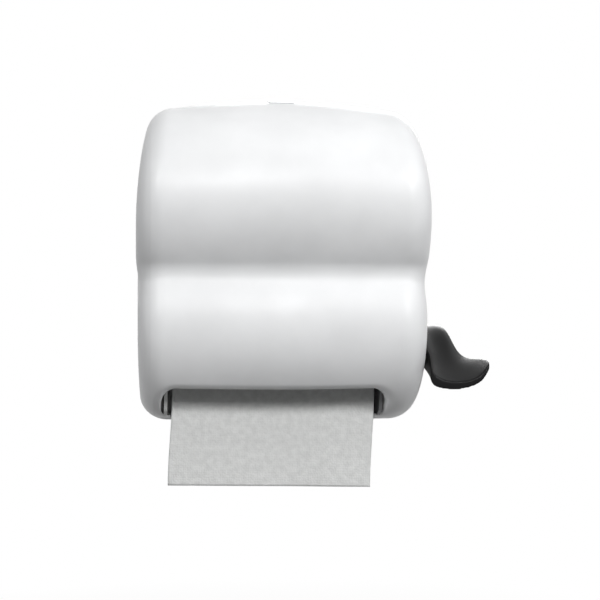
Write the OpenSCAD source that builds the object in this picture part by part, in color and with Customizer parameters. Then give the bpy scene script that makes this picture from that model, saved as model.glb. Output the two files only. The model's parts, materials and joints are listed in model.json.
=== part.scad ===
// Wall-mounted lever dispenser for a roll of paper towel, in millimetres.
// X runs towards the lever, -Y faces the user and +Z is up.
// The wall is the plane y = 0 and the origin is the centre of the four wall screws.

/* [Towel] */
// Width of the towel roll
roll_w = 210; // [190:1:218]
// Diameter of a full roll
roll_d = 150; // [120:1:158]
// Outer diameter of the cardboard core
core_d = 42; // [38:1:48]
// Wall of the cardboard core
core_wall = 1.5; // [1:0.1:2.5]
// Thickness of the towel sheet, drawn as its soft height
paper = 0.4; // [0.3:0.05:0.6]
// Distance of the roll's middle from the wall screws' centre line, away from the lever
roll_offset = 7.5; // [4:0.5:12]
// Length of towel that hangs below the nip
tail_l = 125; // [60:1:130]

/* [Cover] */
// Room between the side frames and the cover's sides, on the side away from the lever
bay_w = 29; // [27:1:37]
// Height of the cover's top above the wall screws' centre
body_top = 171.5; // [169:0.5:178]
// Wall of the cover
cover_wall = 2.6; // [2:0.1:3.2]
// Radius of the upper bulge, seen from the side
upper_r = 105; // [100:1:114]
// Radius of the lower bulge, seen from the side
lower_r = 100; // [96:1:106]
// Radius of the hollow crease between the bulges
crease_r = 22; // [14:1:30]
// Radius of the cover's front and side edges
corner_r = 29; // [20:1:34]
// Drop of the arched top at the side edges
top_arch = 11; // [6:0.5:12]
// Crown of the front across its width
front_crown = 4; // [2:0.5:6]
// Depth of the cabinet tray, from the wall to the cover's rim
tray_d = 20; // [16:0.5:20]
// Height of the exit slot above the cover's lower edge
slot_h = 36; // [31:1:39]
// Depth of the lip that turns in round the exit slot
lip_d = 10; // [6:0.5:11]

/* [Cabinet] */
// Wall of the cabinet tray
tray_wall = 3; // [2.5:0.1:4]
// Thickness of the side frames and of the roll arms
frame_t = 3.5; // [3:0.1:4.5]
// Gap between the towel's edge and each side frame
side_gap = 5; // [4.5:0.1:6]
// Distance across between the wall screws
screw_dx = 170; // [140:5:175]
// Distance up between the wall screws
screw_dz = 230; // [200:5:240]
// Diameter of the wall screw holes
screw_hole_d = 6; // [4:0.5:8]

/* [Feed] */
// Distance of the hanging towel from the wall
towel_depth = 140.5; // [138:0.5:143]
// Distance of the nip below the wall screws' centre
nip_drop = 104; // [100:1:108]
// Height of the nip above the cover's hinge
hinge_drop = 47.5; // [46:0.5:51]
// Height of the guide bar above the nip
guide_rise = 87; // [84:1:90]
// Diameter of the rubber rings that feed the towel
feed_d = 48; // [44:1:50]
// Diameter of the pinch roller
pinch_d = 20; // [16:1:22]
// Diameter of the feed roller's shaft
feed_shaft_d = 10; // [8:0.5:12]
// Diameter of the guide bar
guide_d = 8; // [6:0.5:10]

/* [Gears] */
// Gear module
gear_m = 1.25; // [1.2:0.01:1.27]
// Teeth of the whole wheel that the lever's sector is cut from
sector_teeth = 72; // [68:4:76]
// Teeth of the idler and of the pinion
small_teeth = 18; // [17:1:19]
// Face width of the gears
gear_w = 7; // [5:0.5:8]
// Play between the teeth at the pitch line
backlash = 0.2; // [0.1:0.05:0.4]

/* [Lever] */
// Travel of the lever from rest to its lower stop, in degrees
lever_travel = 50; // [30:1:50]
// Diameter of the lever's shaft
lever_shaft_d = 12; // [10:0.5:13]
// Diameter of the lever's hub
hub_d = 49; // [44:1:52]
// Width of the lever's hub
hub_w = 22; // [20:1:26]
// Reach of the paddle sideways from the cover
paddle_reach = 64; // [54:1:74]
// Distance of the paddle's front edge from the wall
paddle_front = 179; // [170:1:186]
// Drop of the paddle's front edge below the lever's shaft
paddle_drop = 42.5; // [36:0.5:48]
// Rise of the paddle's upper face from its lowest to its highest place
paddle_rise = 70; // [60:1:76]
// Thickness of the paddle at its front edge
paddle_t = 7; // [6:0.5:9]

/* [Fits] */
// Radial play of a shaft in its bush
run_fit = 0.05; // [0.03:0.01:0.08]
// Radial play of a part that is pressed or clipped in
seat_fit = 0.02; // [0.01:0.01:0.04]
// Gap between parts that pass each other closely
pass_gap = 0.3; // [0.25:0.05:0.4]
// Gap between large mouldings
shell_gap = 0.5; // [0.4:0.1:1]

/* [Hidden] */
$fn = 64;
eps = 0.01;

// Towel and roll
roll_x0 = -roll_offset - roll_w / 2;
roll_x1 = roll_x0 + roll_w;
roll_r = roll_d / 2;
core_r = core_d / 2;
bore_r = core_r - core_wall;
sheet_y = -towel_depth;
web_gap = paper / 2 + pass_gap;

// Side frames
frame_l1 = roll_x0 - side_gap;
frame_l0 = frame_l1 - frame_t;
frame_r0 = roll_x1 + side_gap;
frame_r1 = frame_r0 + frame_t;

// Feed nip
feed_r = feed_d / 2;
pinch_r = pinch_d / 2;
feed = [sheet_y + web_gap + feed_r, -nip_drop];
pinch = [sheet_y - web_gap - pinch_r, -nip_drop];
guide_r = guide_d / 2;
guide = [sheet_y - web_gap - guide_r, guide_rise - nip_drop];

// Roll, behind and above the guide bar
roll_back = 15;
roll_c = [-roll_back - roll_r, guide[1] + roll_r];

// Gear train, from the feed shaft back to the lever's shaft
small_pitch_r = gear_m * small_teeth / 2;
sector_pitch_r = gear_m * sector_teeth / 2;
idler_dir = 60;
lever_dir = -3.6;
idler = feed + 2 * small_pitch_r * [cos(idler_dir), sin(idler_dir)];
pivot = idler + (small_pitch_r + sector_pitch_r) * [cos(lever_dir), sin(lever_dir)];
gear_gap = 3.5;
gear_x0 = frame_r1 + gear_gap;
gear_x1 = gear_x0 + gear_w;
spring_room = 13;
plate_x0 = gear_x1 + spring_room;
plate_x1 = plate_x0 + 3;

// Cover, seen from the side
hinge_r = 3;
hinge = [-tray_d - 5, -nip_drop - hinge_drop];
body_bottom = hinge[1] - 12;
upper_c = [-116, body_top - upper_r];
lower_c = [-102, body_bottom + lower_r];
top_back_r = 1200;
rim_y = -tray_d;
half_w = bay_w - frame_l0;
pole_w = half_w - 1.5;
slot_top = body_bottom + slot_h;
slot_x0 = frame_l0 - 2.8;
slot_x1 = frame_r1 + 1;
slot_corner_r = 15;
slot_back = 112;

// Lock
lock = [0, -75];
lock_r = 8;
plug_r = 5.5;
cam_reach = 33;

// Spring seat and pinch bracket
bracket_pivot = [pinch[0] - 9, pinch[1] + 24];
bracket_t = 2;
bracket_y = bracket_pivot[0] - 5;
spring_y = sheet_y - 6.5;
spring_z = bracket_pivot[1] + 20;
spring_xs = [roll_x0 + 22, roll_x1 - 22];
bumper_r = 4;

// ---- helpers ----

// Draws (Y, Z) outlines and extrudes them along +X from x
module along_x(x) {
    translate([x, 0, 0]) rotate([90, 0, 90]) children();
}

// Draws (X, Z) outlines and extrudes them towards the user from y
module to_front(y) {
    translate([0, y, 0]) rotate([90, 0, 0]) children();
}

module rod_x(at, r, x0, x1) {
    along_x(x0) translate([at[0], at[1], 0]) cylinder(r = r, h = x1 - x0);
}

module ring_x(at, r_out, r_in, x0, x1) {
    along_x(x0) translate([at[0], at[1], 0]) difference() {
        cylinder(r = r_out, h = x1 - x0);
        translate([0, 0, -1]) cylinder(r = r_in, h = x1 - x0 + 2);
    }
}

module plate_x(outline, x0, x1) {
    along_x(x0) linear_extrude(x1 - x0) polygon(outline);
}

module box_between(a, b) {
    translate(a) cube(b - a);
}

function lerp(a, b, t) = a + (b - a) * t;
function on_circle(c, r, a) = c + r * [cos(a), sin(a)];
function arc(c, r, a0, a1, n) = [for (i = [0:n]) on_circle(c, r, lerp(a0, a1, i / n))];
function tail_off(list) = [for (i = [0:len(list) - 2]) list[i]];
function reversed(list) = [for (i = [len(list) - 1:-1:0]) list[i]];
function heading(v) = (atan2(v[1], v[0]) + 360) % 360;

// An outline whose corners are cut back by r and rounded with n steps
function rounded(pts, r, n = 5) = [
    for (i = [0:len(pts) - 1])
        let (p = pts[i], a = pts[(i + len(pts) - 1) % len(pts)], b = pts[(i + 1) % len(pts)],
             p1 = p + r * (a - p) / norm(a - p), p2 = p + r * (b - p) / norm(b - p))
        for (k = [0:n])
            let (t = k / n) lerp(lerp(p1, p, t), lerp(p, p2, t), t)];

// A strip of width w along a path
function ribbon(path, w) = let (
    last = len(path) - 1,
    normals = [for (i = [0:last])
        let (d = path[min(i + 1, last)] - path[max(i - 1, 0)]) [-d[1], d[0]] / norm(d)])
    concat(
        [for (i = [0:last]) path[i] + normals[i] * w / 2],
        [for (i = [last:-1:0]) path[i] - normals[i] * w / 2]);

// A smooth curve guided by points, from the first at t = 0 to the last at t = 1
function spline(pts, t) = let (
    n = len(pts) - 1, i = min(floor(t * n), n - 1), f = t * n - i,
    q = concat([2 * pts[0] - pts[1]], pts, [2 * pts[n] - pts[n - 1]]))
    (pow(1 - f, 3) * q[i] + (3 * pow(f, 3) - 6 * f * f + 4) * q[i + 1]
        + (1 + 3 * f + 3 * f * f - 3 * pow(f, 3)) * q[i + 2] + pow(f, 3) * q[i + 3]) / 6;

// A coil spring along +Z from the origin, as one tube
module coil(r, wire_r, length, turns, sides = 6, steps = 12) {
    rings = turns * steps;
    points = [for (i = [0:rings], j = [0:sides - 1])
        let (a = 360 * i / steps, b = 360 * j / sides, q = r + wire_r * cos(b))
        [q * cos(a), q * sin(a), wire_r + (length - 2 * wire_r) * i / rings + wire_r * sin(b)]];
    walls = [for (i = [0:rings - 1], j = [0:sides - 1])
        let (a = i * sides + j, b = i * sides + (j + 1) % sides)
        each [[a, b, b + sides], [a, b + sides, a + sides]]];
    first = [for (j = [1:sides - 2]) [0, j + 1, j]];
    top = rings * sides;
    end = [for (j = [1:sides - 2]) [top, top + j, top + j + 1]];
    polyhedron(points, concat(first, walls, end));
}

// ---- gears ----

function involute(a) = tan(a) - a * PI / 180;
function flank_angle(teeth, r) = let (
    pitch_r = gear_m * teeth / 2, base_r = pitch_r * cos(20),
    at = acos(min(1, base_r / max(r, base_r))))
    90 / teeth - backlash / pitch_r * 45 / PI + (involute(20) - involute(at)) * 180 / PI;

// One tooth, centred on angle a
function tooth(teeth, a) = let (
    pitch_r = gear_m * teeth / 2, root_r = pitch_r - 1.25 * gear_m,
    base_r = pitch_r * cos(20), tip_r = pitch_r + gear_m,
    low_r = max(root_r, base_r), steps = 4,
    rs = concat([root_r], [for (i = [0:steps]) lerp(low_r + eps, tip_r, i / steps)]))
    concat(
        [for (r = rs) on_circle([0, 0], r, a - flank_angle(teeth, r))],
        [for (r = reversed(rs)) on_circle([0, 0], r, a + flank_angle(teeth, r))]);

function gear_outline(teeth, phase) =
    [for (i = [0:teeth - 1]) each tooth(teeth, phase + 360 * i / teeth)];

mesh_lever = lever_dir + 180;
sector_phase = mesh_lever;
idler_phase = mesh_lever + 180 + 180 / small_teeth;
mesh_idler = idler_dir + 180;
idler_lag = (mesh_idler - idler_phase) % (360 / small_teeth);
pinion_phase = mesh_idler + 180 + idler_lag + 180 / small_teeth;

module gear_x(at, teeth, phase) {
    along_x(gear_x0) translate([at[0], at[1], 0])
        linear_extrude(gear_w) polygon(gear_outline(teeth, phase));
}

// ---- cover surface ----

function half_width(z) =
    half_w
    - 12 * pow(max(0, (z - 40) / (body_top - 40)), 2)
    - 2 * smooth((10 - z) / 40)
    - 1.3 * exp(-pow((z + 30) / 18, 2))
    - 2.5 * pow(max(0, (-80 - z) / (-80 - body_bottom)), 2);
function smooth(t) = let (c = min(1, max(0, t))) c * c * (3 - 2 * c);

// Meeting point, on the user's side, of two circles
function front_meet(c1, r1, c2, r2) = let (
    d = norm(c2 - c1), e = (c2 - c1) / d,
    a = (d * d + r1 * r1 - r2 * r2) / (2 * d), h = sqrt(r1 * r1 - a * a))
    c1 + a * e + h * [e[1], -e[0]];

crease_c = front_meet(upper_c, upper_r + crease_r, lower_c, lower_r + crease_r);
upper_end = heading(crease_c - upper_c);
lower_start = heading(crease_c - lower_c);

// Side profile of the cover from the top of its rim to the bottom, a depth t inside it
function profile(t) = let (
    back_c = [upper_c[0], body_top - top_back_r],
    back_a = acos((rim_y - back_c[0]) / (top_back_r - t)))
    concat(
        tail_off(arc(back_c, top_back_r - t, back_a, 90, 3)),
        tail_off(arc(upper_c, upper_r - t, 90, upper_end, 16)),
        tail_off(arc(crease_c, crease_r + t, upper_end - 180, lower_start - 180, 6)),
        arc(lower_c, lower_r - t, lower_start, 270, 14),
        [for (y = [-75, -47, rim_y]) [y, body_bottom + t]]);

side_steps = 3;
corner_steps = 6;
front_steps = 12;

// One section of the cover, in a plane through the middle of its rim
function section(p, t) = let (
    v = p - [rim_y, 0], rho = norm(v), e = v / rho,
    hw = half_width(p[1]) - t, rc = corner_r - t, xc = hw - rc,
    up = max(0, e[1]), down = max(0, -e[1]),
    crown = front_crown * (1 - up * up - down * down) + top_arch * up * up,
    base = rho - crown - rc,
    half = concat(
        [for (k = [1:side_steps - 1]) let (f = k / side_steps)
            [-lerp(pole_w - t, hw, f * f), base * f]],
        [for (k = [0:corner_steps]) let (a = 90 * k / corner_steps)
            [-xc - rc * cos(a), base + rc * sin(a)]],
        [for (k = [1:front_steps / 2 - 1]) let (f = 1 - 2 * k / front_steps)
            [-xc * f, rho - crown * f * f]]))
    [for (q = concat(half, [[0, rho]], [for (q = reversed(half)) [-q[0], q[1]]]))
        [q[0], rim_y + q[1] * e[0], q[1] * e[1]]];

function sections(t) = [for (p = profile(t)) section(p, t)];
columns = len(section(profile(0)[0], 0));
rows = len(profile(0));

// Outline of the rim, seen from the front, a depth t inside it
function rim_outline(t) = let (s = sections(t))
    concat([[-pole_w + t, 0]], [for (q = s[0]) [q[0], q[2]]],
        [[pole_w - t, 0]], [for (q = reversed(s[rows - 1])) [q[0], q[2]]]);

function flat(list) = [for (row = list) each row];
function skin(first, flip) = let (pole_l = first + rows * columns, pole_r = pole_l + 1)
    [for (f = concat(
        [for (i = [0:rows - 2], j = [0:columns - 2])
            let (a = first + i * columns + j) each
            [[a, a + columns, a + columns + 1], [a, a + columns + 1, a + 1]]],
        [for (i = [0:rows - 2]) let (a = first + i * columns) [a, pole_l, a + columns]],
        [for (i = [0:rows - 2]) let (a = first + (i + 1) * columns - 1)
            [a, a + columns, pole_r]]))
        flip ? reversed(f) : f];

function edge_strip(outer, inner, flip) = [for (k = [0:len(outer) - 2], half = [0, 1])
    let (f = half == 0 ? [outer[k], outer[k + 1], inner[k + 1]]
                       : [outer[k], inner[k + 1], inner[k]])
    flip ? reversed(f) : f];

// The cover's wall, t thick and open at the back
module shell(t) {
    count = rows * columns + 2;
    points = concat(flat(sections(0)), [[-pole_w, rim_y, 0], [pole_w, rim_y, 0]],
        flat(sections(t)), [[-pole_w + t, rim_y, 0], [pole_w - t, rim_y, 0]]);
    top = concat([count - 2], [for (j = [0:columns - 1]) j], [count - 1]);
    bottom = concat([count - 2], [for (j = [0:columns - 1]) (rows - 1) * columns + j],
        [count - 1]);
    faces = concat(skin(0, true), skin(count, false),
        edge_strip(top, [for (k = top) k + count], true),
        edge_strip(bottom, [for (k = bottom) k + count], false));
    polyhedron(points, faces);
}

module slot_outline(grow) {
    x0 = slot_x0 - grow;
    x1 = slot_x1 + grow;
    z0 = body_bottom - 30;
    z1 = slot_top + grow;
    polygon(concat([[x0, z0]],
        arc([x0 + slot_corner_r, z1 - slot_corner_r], slot_corner_r, 180, 90, 8),
        arc([x1 - slot_corner_r, z1 - slot_corner_r], slot_corner_r, 90, 0, 8),
        [[x1, z0]]));
}

module slot_cut(grow) {
    to_front(-slot_back) linear_extrude(lower_r - lower_c[0]) slot_outline(grow);
}

// The path of the lever's housing through the cover's side as the cover swings
module housing_notch() {
    reach = norm(pivot - hinge);
    room = housing_r + 1.2;
    along_x(half_w - 20) linear_extrude(30) union() {
        translate(pivot) circle(r = room);
        intersection() {
            translate(hinge) difference() {
                circle(r = reach + room);
                circle(r = reach - room);
            }
            translate([pivot[0], pivot[1] - 30]) square([60, 60]);
        }
    }
}

module cover() {
    color("white") resize([0, 0, 0]) difference() {
        union() {
            shell(cover_wall);
            intersection() {
                shell(lip_d);
                slot_cut(cover_wall);
            }
        }
        slot_cut(0);
        housing_notch();
        translate([lock[0], lock[1], body_top - 20]) cylinder(r = lock_r + 0.3, h = 40, $fn = 32);
    }
}

hinge_x = 80;
arm_w = 14;
lug_w = 8;
lug_x = hinge_x + arm_w / 2 + pass_gap;
glue_gap = 0.15;

module cover_hinge_arms() {
    color("white") for (x = [-hinge_x, hinge_x]) difference() {
        union() {
            rod_x(hinge, hinge_r + 3.5, x - arm_w / 2, x + arm_w / 2);
            box_between([x - arm_w / 2, hinge[0] - 10, body_bottom + cover_wall + glue_gap],
                [x + arm_w / 2, hinge[0] + 4, hinge[1]]);
        }
        rod_x(hinge, hinge_r + run_fit, x - arm_w, x + arm_w);
    }
}

module hinge_pins() {
    color("silver") for (side = [-1, 1])
        let (x0 = side * (hinge_x - arm_w / 2), x1 = side * (lug_x + lug_w))
        rod_x(hinge, hinge_r, min(x0, x1), max(x0, x1));
}

// ---- lock ----

function lock_surface(y) = body_top - top_back_r
    + sqrt(pow(top_back_r, 2) - pow(y - upper_c[0], 2));
plate_w = 27;
plate_t = 0.9;
plate_front_a = 108;

module lock_plate() {
    back_c = [upper_c[0], body_top - top_back_r];
    back_a = acos((lock[1] + 14 - back_c[0]) / top_back_r);
    low = concat(tail_off(arc(back_c, top_back_r + glue_gap, back_a, 90, 2)),
        arc(upper_c, upper_r + glue_gap, 90, plate_front_a, 6));
    high = concat(tail_off(arc(back_c, top_back_r + glue_gap + plate_t, back_a, 90, 2)),
        arc(upper_c, upper_r + glue_gap + plate_t, 90, plate_front_a, 6));
    color("lightgray") difference() {
        plate_x(concat(low, reversed(high)), lock[0] - plate_w / 2, lock[0] + plate_w / 2);
        translate([lock[0], lock[1], body_top - 20]) cylinder(r = lock_r + 0.3, h = 40);
    }
}

flange_r = lock_r + 3;
flange_z = lock_surface(lock[1] - flange_r) + 2 * glue_gap + plate_t;
barrel_l = 15;
barrel_z = flange_z - barrel_l;

module lock_barrel() {
    color("silver") translate([lock[0], lock[1], 0]) difference() {
        union() {
            translate([0, 0, barrel_z]) cylinder(r = lock_r, h = barrel_l);
            translate([0, 0, flange_z]) cylinder(r = flange_r, h = 1.5);
        }
        translate([0, 0, barrel_z - 1]) cylinder(r = plug_r + run_fit, h = barrel_l + 4);
    }
}

module lock_nut() {
    nut_r = 12;
    nut_h = 3;
    z0 = lock_surface(lock[1] + nut_r) - cover_wall - pass_gap - nut_h;
    color("silver") translate([lock[0], lock[1], z0]) difference() {
        cylinder(r = nut_r, h = nut_h, $fn = 6);
        translate([0, 0, -1]) cylinder(r = lock_r + seat_fit, h = nut_h + 2);
    }
}

cam_t = 1.6;
module lock_plug() {
    color("dimgray") translate([lock[0], lock[1], 0]) difference() {
        translate([0, 0, barrel_z - cam_t]) cylinder(r = plug_r, h = barrel_l + cam_t + 1.3);
        translate([-0.8, -3.2, flange_z - 6]) cube([1.6, 6.4, 10]);
    }
}

module lock_cam() {
    z0 = barrel_z - cam_t;
    color("silver") translate([lock[0], lock[1], 0]) difference() {
        union() {
            translate([0, 0, z0]) cylinder(r = plug_r + 3.5, h = cam_t - eps);
            translate([plug_r, -4, z0]) cube([cam_reach - plug_r, 8, cam_t - eps]);
            translate([cam_reach - 2, -4, z0 - 3.5]) cube([2, 8, 4]);
        }
        translate([0, 0, z0 - 1]) cylinder(r = plug_r + seat_fit, h = cam_t + 2);
    }
}

catch_w = 14;
catch_h = 26;
catch_screw_z = barrel_z - cam_t - 19;
module lock_catch() {
    lip_y = lock[1] + cam_reach - 6;
    z_top = barrel_z - cam_t - 0.8;
    color("silver") {
        difference() {
            union() {
                box_between([-catch_w / 2, lip_y, z_top - 6.5], [catch_w / 2, -tray_wall, z_top - 4.5]);
                box_between([-catch_w / 2, lip_y, z_top - 6.5], [catch_w / 2, lip_y + 2, z_top]);
                box_between([-catch_w / 2, -tray_wall - 2, z_top - catch_h],
                    [catch_w / 2, -tray_wall, z_top - 4.5]);
            }
            translate([0, 0, catch_screw_z]) to_front(0) cylinder(r = screw_r + slack, h = 20);
        }
    }
}

// ---- cabinet ----

screw_r = 2;
screw_tip = 0.8;
slack = 0.2;
foot_t = 3;
foot_w = 14;
frame_screw_zs = [guide[1] - 15, guide[1] - 75];
arm_screw_zs = [roll_c[1] - 18, roll_c[1] + 18];

// Places of the screws that fasten the frames, arms and catch to the tray
function tray_screws() = concat(
    [for (z = frame_screw_zs) each
        [[frame_l0 - foot_w / 2, foot_t, z], [frame_r1 + foot_w / 2, foot_t, z]]],
    [for (z = arm_screw_zs) [frame_l0 - foot_w / 2, foot_t, z]],
    [for (z = arm_screw_zs) [arm_axis[0] + 14, foot_t, z]],
    [[0, 2, catch_screw_z]]);

module frame_screws() {
    color("silver") for (s = tray_screws()) translate([s[0], -screw_tip, s[2]])
        rotate([90, 0, 0]) {
            cylinder(r = screw_r, h = tray_wall - screw_tip + s[1]);
            translate([0, 0, tray_wall - screw_tip + s[1]]) screw_head();
        }
}

module screw_head() {
    difference() {
        cylinder(r = 3.8, h = 2.4);
        for (a = [0, 90]) rotate([0, 0, a]) translate([-2.2, -0.5, 1.2]) cube([4.4, 1, 2]);
    }
}

module cabinet_tray() {
    lug_top = hinge[1] + 24;
    swing_r = norm([rim_y, body_bottom] - hinge) + 1.5;
    color("white") difference() {
        union() {
            to_front(0) linear_extrude(tray_wall) polygon(rim_outline(0));
            difference() {
                to_front(0) linear_extrude(tray_d - shell_gap) polygon(rim_outline(0));
                to_front(1) linear_extrude(tray_d + 2) polygon(rim_outline(tray_wall));
            }
            for (x = [-lug_x - lug_w, lug_x]) translate([x, 0, 0]) {
                rod_x(hinge, hinge_r + 3, 0, lug_w);
                box_between([0, hinge[0] - 6, hinge[1]], [lug_w, hinge[0] + 6, lug_top]);
                box_between([0, hinge[0], lug_top - 8], [lug_w, -eps, lug_top]);
            }
        }
        for (x = [-lug_x - lug_w, lug_x])
            rod_x(hinge, hinge_r + seat_fit, x - 1, x + lug_w + 1);
        // room for the cover's rear edge as it swings round the hinge
        difference() {
            rod_x(hinge, swing_r, -half_w, half_w);
            for (x = [-lug_x - lug_w, lug_x])
                box_between([x, hinge[0] - swing_r, hinge[1] - swing_r], [x + lug_w, 0, lug_top]);
        }
        box_between([-half_w, hinge[0] - swing_r, body_bottom - 1],
            [half_w, hinge[0] + swing_r - 1, hinge[1] - 6]);
        for (x = [-screw_dx / 2, screw_dx / 2], z = [-screw_dz / 2, screw_dz / 2])
            translate([x, 0, z]) to_front(1) cylinder(d = screw_hole_d, h = tray_wall + 2);
        for (s = tray_screws()) translate([s[0], 0, s[2]])
            to_front(-screw_tip) cylinder(r = screw_r + run_fit, h = tray_wall + 2);
    }
}

frame_bottom = body_bottom + cover_wall + 3;
frame_low = feed[1] - 22;
function frame_outline() = rounded([
    [-tray_wall, frame_low], [hinge[0] - 17, frame_low], [hinge[0] - 31, frame_bottom],
    [sheet_y + 14, frame_bottom], [sheet_y - 1, frame_bottom + 6],
    [tear_screw[0] + 3, tear_screw[1] - 12], [tear_screw[0] - 6, tear_screw[1] - 4],
    [sheet_y - 26, pinch[1] + 4],
    [sheet_y - 26, bracket_pivot[1] + 8], [guide[0] - 12, guide[1] + 12],
    [guide[0] + 12, guide[1] + 16], [roll_c[0] + 30, guide[1] - 8], [-tray_wall, guide[1] - 5]], 3);

module frame_foot(x0, x1, z0, z1, zs) {
    difference() {
        box_between([x0, -tray_wall - foot_t, z0], [x1, -tray_wall, z1]);
        for (z = zs) translate([(x0 + x1) / 2, 0, z])
            to_front(1) cylinder(r = screw_r + slack, h = 12);
    }
}

module frame_holes(x0, x1) {
    rod_x(feed, bush_r + seat_fit, x0, x1);
    rod_x(guide, guide_r + seat_fit, x0, x1);
    rod_x(bracket_pivot, pivot_pin_r + seat_fit, x0, x1);
    rod_x(tear_screw, screw_r + slack, x0, x1);
}

module side_frame_left() {
    color("white") {
        difference() {
            plate_x(frame_outline(), frame_l0, frame_l1);
            frame_holes(frame_l0 - 1, frame_l1 + 1);
        }
        frame_foot(frame_l0 - foot_w, frame_l0, frame_screw_zs[1] - 10, frame_screw_zs[0] + 10,
            frame_screw_zs);
    }
}

module side_frame_right() {
    color("darkgray") {
        difference() {
            plate_x(frame_outline(), frame_r0, frame_r1);
            frame_holes(frame_r0 - 1, frame_r1 + 1);
            rod_x(pivot, lever_bush_r + seat_fit, frame_r0 - 1, frame_r1 + 1);
            rod_x(idler, stud_r + seat_fit, frame_r0 - 1, frame_r1 + 1);
            for (p = plate_posts) rod_x(p, screw_r + run_fit, frame_r0 + screw_tip, frame_r1 + 1);
        }
        frame_foot(frame_r1, frame_r1 + foot_w, frame_screw_zs[1] - 10, frame_screw_zs[0] + 10,
            frame_screw_zs);
    }
}

module guide_bar() {
    color("silver") rod_x(guide, guide_r, frame_l0 - 1, frame_r1 + 1);
}

// ---- roll arms and hubs ----

arm_tip_r = 16;
stub_r = 6;
stub_l = 14;
arm_axis = [frame_r0 + frame_t / 2, -13];
arm_root = 26;

function arm_outline(y0) = let (
    a = [y0, roll_c[1] - arm_root], b = [y0, roll_c[1] + arm_root])
    concat([a], arc(roll_c, arm_tip_r, 285, 75, 14), [b]);

module roll_arm_left() {
    color("white") {
        plate_x(arm_outline(-tray_wall), frame_l0, frame_l1 - shell_gap);
        rod_x(roll_c, stub_r, frame_l1 - shell_gap, roll_x0 + stub_l);
        frame_foot(frame_l0 - foot_w, frame_l0, roll_c[1] - arm_root, roll_c[1] + arm_root,
            arm_screw_zs);
    }
}

knuckle_r = 5.5;
arm_pin_r = 2.5;
knuckle_z0 = roll_c[1] - arm_root;
knuckle_z1 = roll_c[1] + arm_root - 11;
lug_t = 5;

module roll_arm_right() {
    color("white") difference() {
        union() {
            plate_x(concat([[arm_axis[1], knuckle_z0]], arc(roll_c, arm_tip_r, 285, 75, 14),
                [[arm_axis[1], knuckle_z1]]), frame_r0 + shell_gap, frame_r1);
            translate([arm_axis[0], arm_axis[1], knuckle_z0])
                cylinder(r = knuckle_r, h = knuckle_z1 - knuckle_z0);
            rod_x(roll_c, stub_r, roll_x1 - stub_l, frame_r0 + shell_gap);
        }
        translate([arm_axis[0], arm_axis[1], knuckle_z0 - 1])
            cylinder(r = arm_pin_r + run_fit, h = knuckle_z1 - knuckle_z0 + 2);
    }
}

module arm_bracket() {
    z0 = knuckle_z0 - pass_gap - lug_t;
    z1 = roll_c[1] + arm_root + pass_gap;
    color("white") difference() {
        union() {
            box_between([arm_axis[0] - knuckle_r, -tray_wall - foot_t, z0],
                [arm_axis[0] + 21, -tray_wall, z1 + lug_t]);
            for (z = [z0, z1]) {
                translate([arm_axis[0], arm_axis[1], z]) cylinder(r = knuckle_r, h = lug_t);
                box_between([arm_axis[0] - knuckle_r, arm_axis[1], z],
                    [arm_axis[0] + knuckle_r, -tray_wall, z + lug_t]);
            }
        }
        translate([arm_axis[0], arm_axis[1], z0 - 1])
            cylinder(r = arm_pin_r + seat_fit, h = z1 - z0 + lug_t + 2);
        for (z = arm_screw_zs) translate([arm_axis[0] + 14, 0, z])
            to_front(1) cylinder(r = screw_r + slack, h = 12);
    }
}

module arm_hinge_pin() {
    z0 = knuckle_z0 - pass_gap - lug_t - 1;
    z1 = roll_c[1] + arm_root + pass_gap + lug_t + 1;
    color("silver") translate([arm_axis[0], arm_axis[1], z0]) cylinder(r = arm_pin_r, h = z1 - z0);
}

module arm_spring() {
    z0 = knuckle_z1 + pass_gap;
    length = roll_c[1] + arm_root - z0;
    color("silver") translate([arm_axis[0], arm_axis[1], z0]) coil(3.9, 0.7, length, 5);
}

hub_flange_r = 27;
hub_plug_l = 14;
module hub_bore(x0, x1) {
    rod_x(roll_c, stub_r + run_fit, x0, x1);
}

module hub_left() {
    x = roll_x0 - shell_gap;
    color("dimgray") difference() {
        union() {
            rod_x(roll_c, 9, frame_l1 - shell_gap + pass_gap, x - 2);
            rod_x(roll_c, hub_flange_r, x - 2.5, x);
            rod_x(roll_c, bore_r - pass_gap, x - 1, roll_x0 + hub_plug_l);
        }
        hub_bore(frame_l0, roll_x0 + stub_l + pass_gap);
    }
}

module hub_right() {
    x = roll_x1 + shell_gap;
    color("dimgray") difference() {
        union() {
            rod_x(roll_c, 9, x + 2, frame_r0 + shell_gap - pass_gap);
            rod_x(roll_c, hub_flange_r, x, x + 2.5);
            along_x(roll_x1 - hub_plug_l) translate([roll_c[0], roll_c[1], 0])
                cylinder(r1 = bore_r - 4.5, r2 = bore_r - pass_gap, h = hub_plug_l + 1);
        }
        hub_bore(roll_x1 - stub_l - pass_gap, frame_r1);
    }
}

module towel_core() {
    color("burlywood") ring_x(roll_c, core_r, bore_r, roll_x0, roll_x1);
}

module towel_roll() {
    color("whitesmoke") ring_x(roll_c, roll_r, core_r, roll_x0, roll_x1);
}

// ---- towel ----

tail_top = guide[1] - guide_r;
web_r = roll_r + web_gap;
bar_r = guide_r + web_gap;
web_d = guide - roll_c;
web_a = heading(web_d) - acos((web_r + bar_r) / norm(web_d));
web_start = 30;

module towel_web() {
    path = concat(arc(roll_c, web_r, web_a - web_start, web_a, 8),
        arc(guide, bar_r, web_a - 180, 0, 4), [[sheet_y, tail_top + pass_gap]]);
    color("whitesmoke") plate_x(ribbon(path, paper), roll_x0, roll_x1);
}

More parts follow.
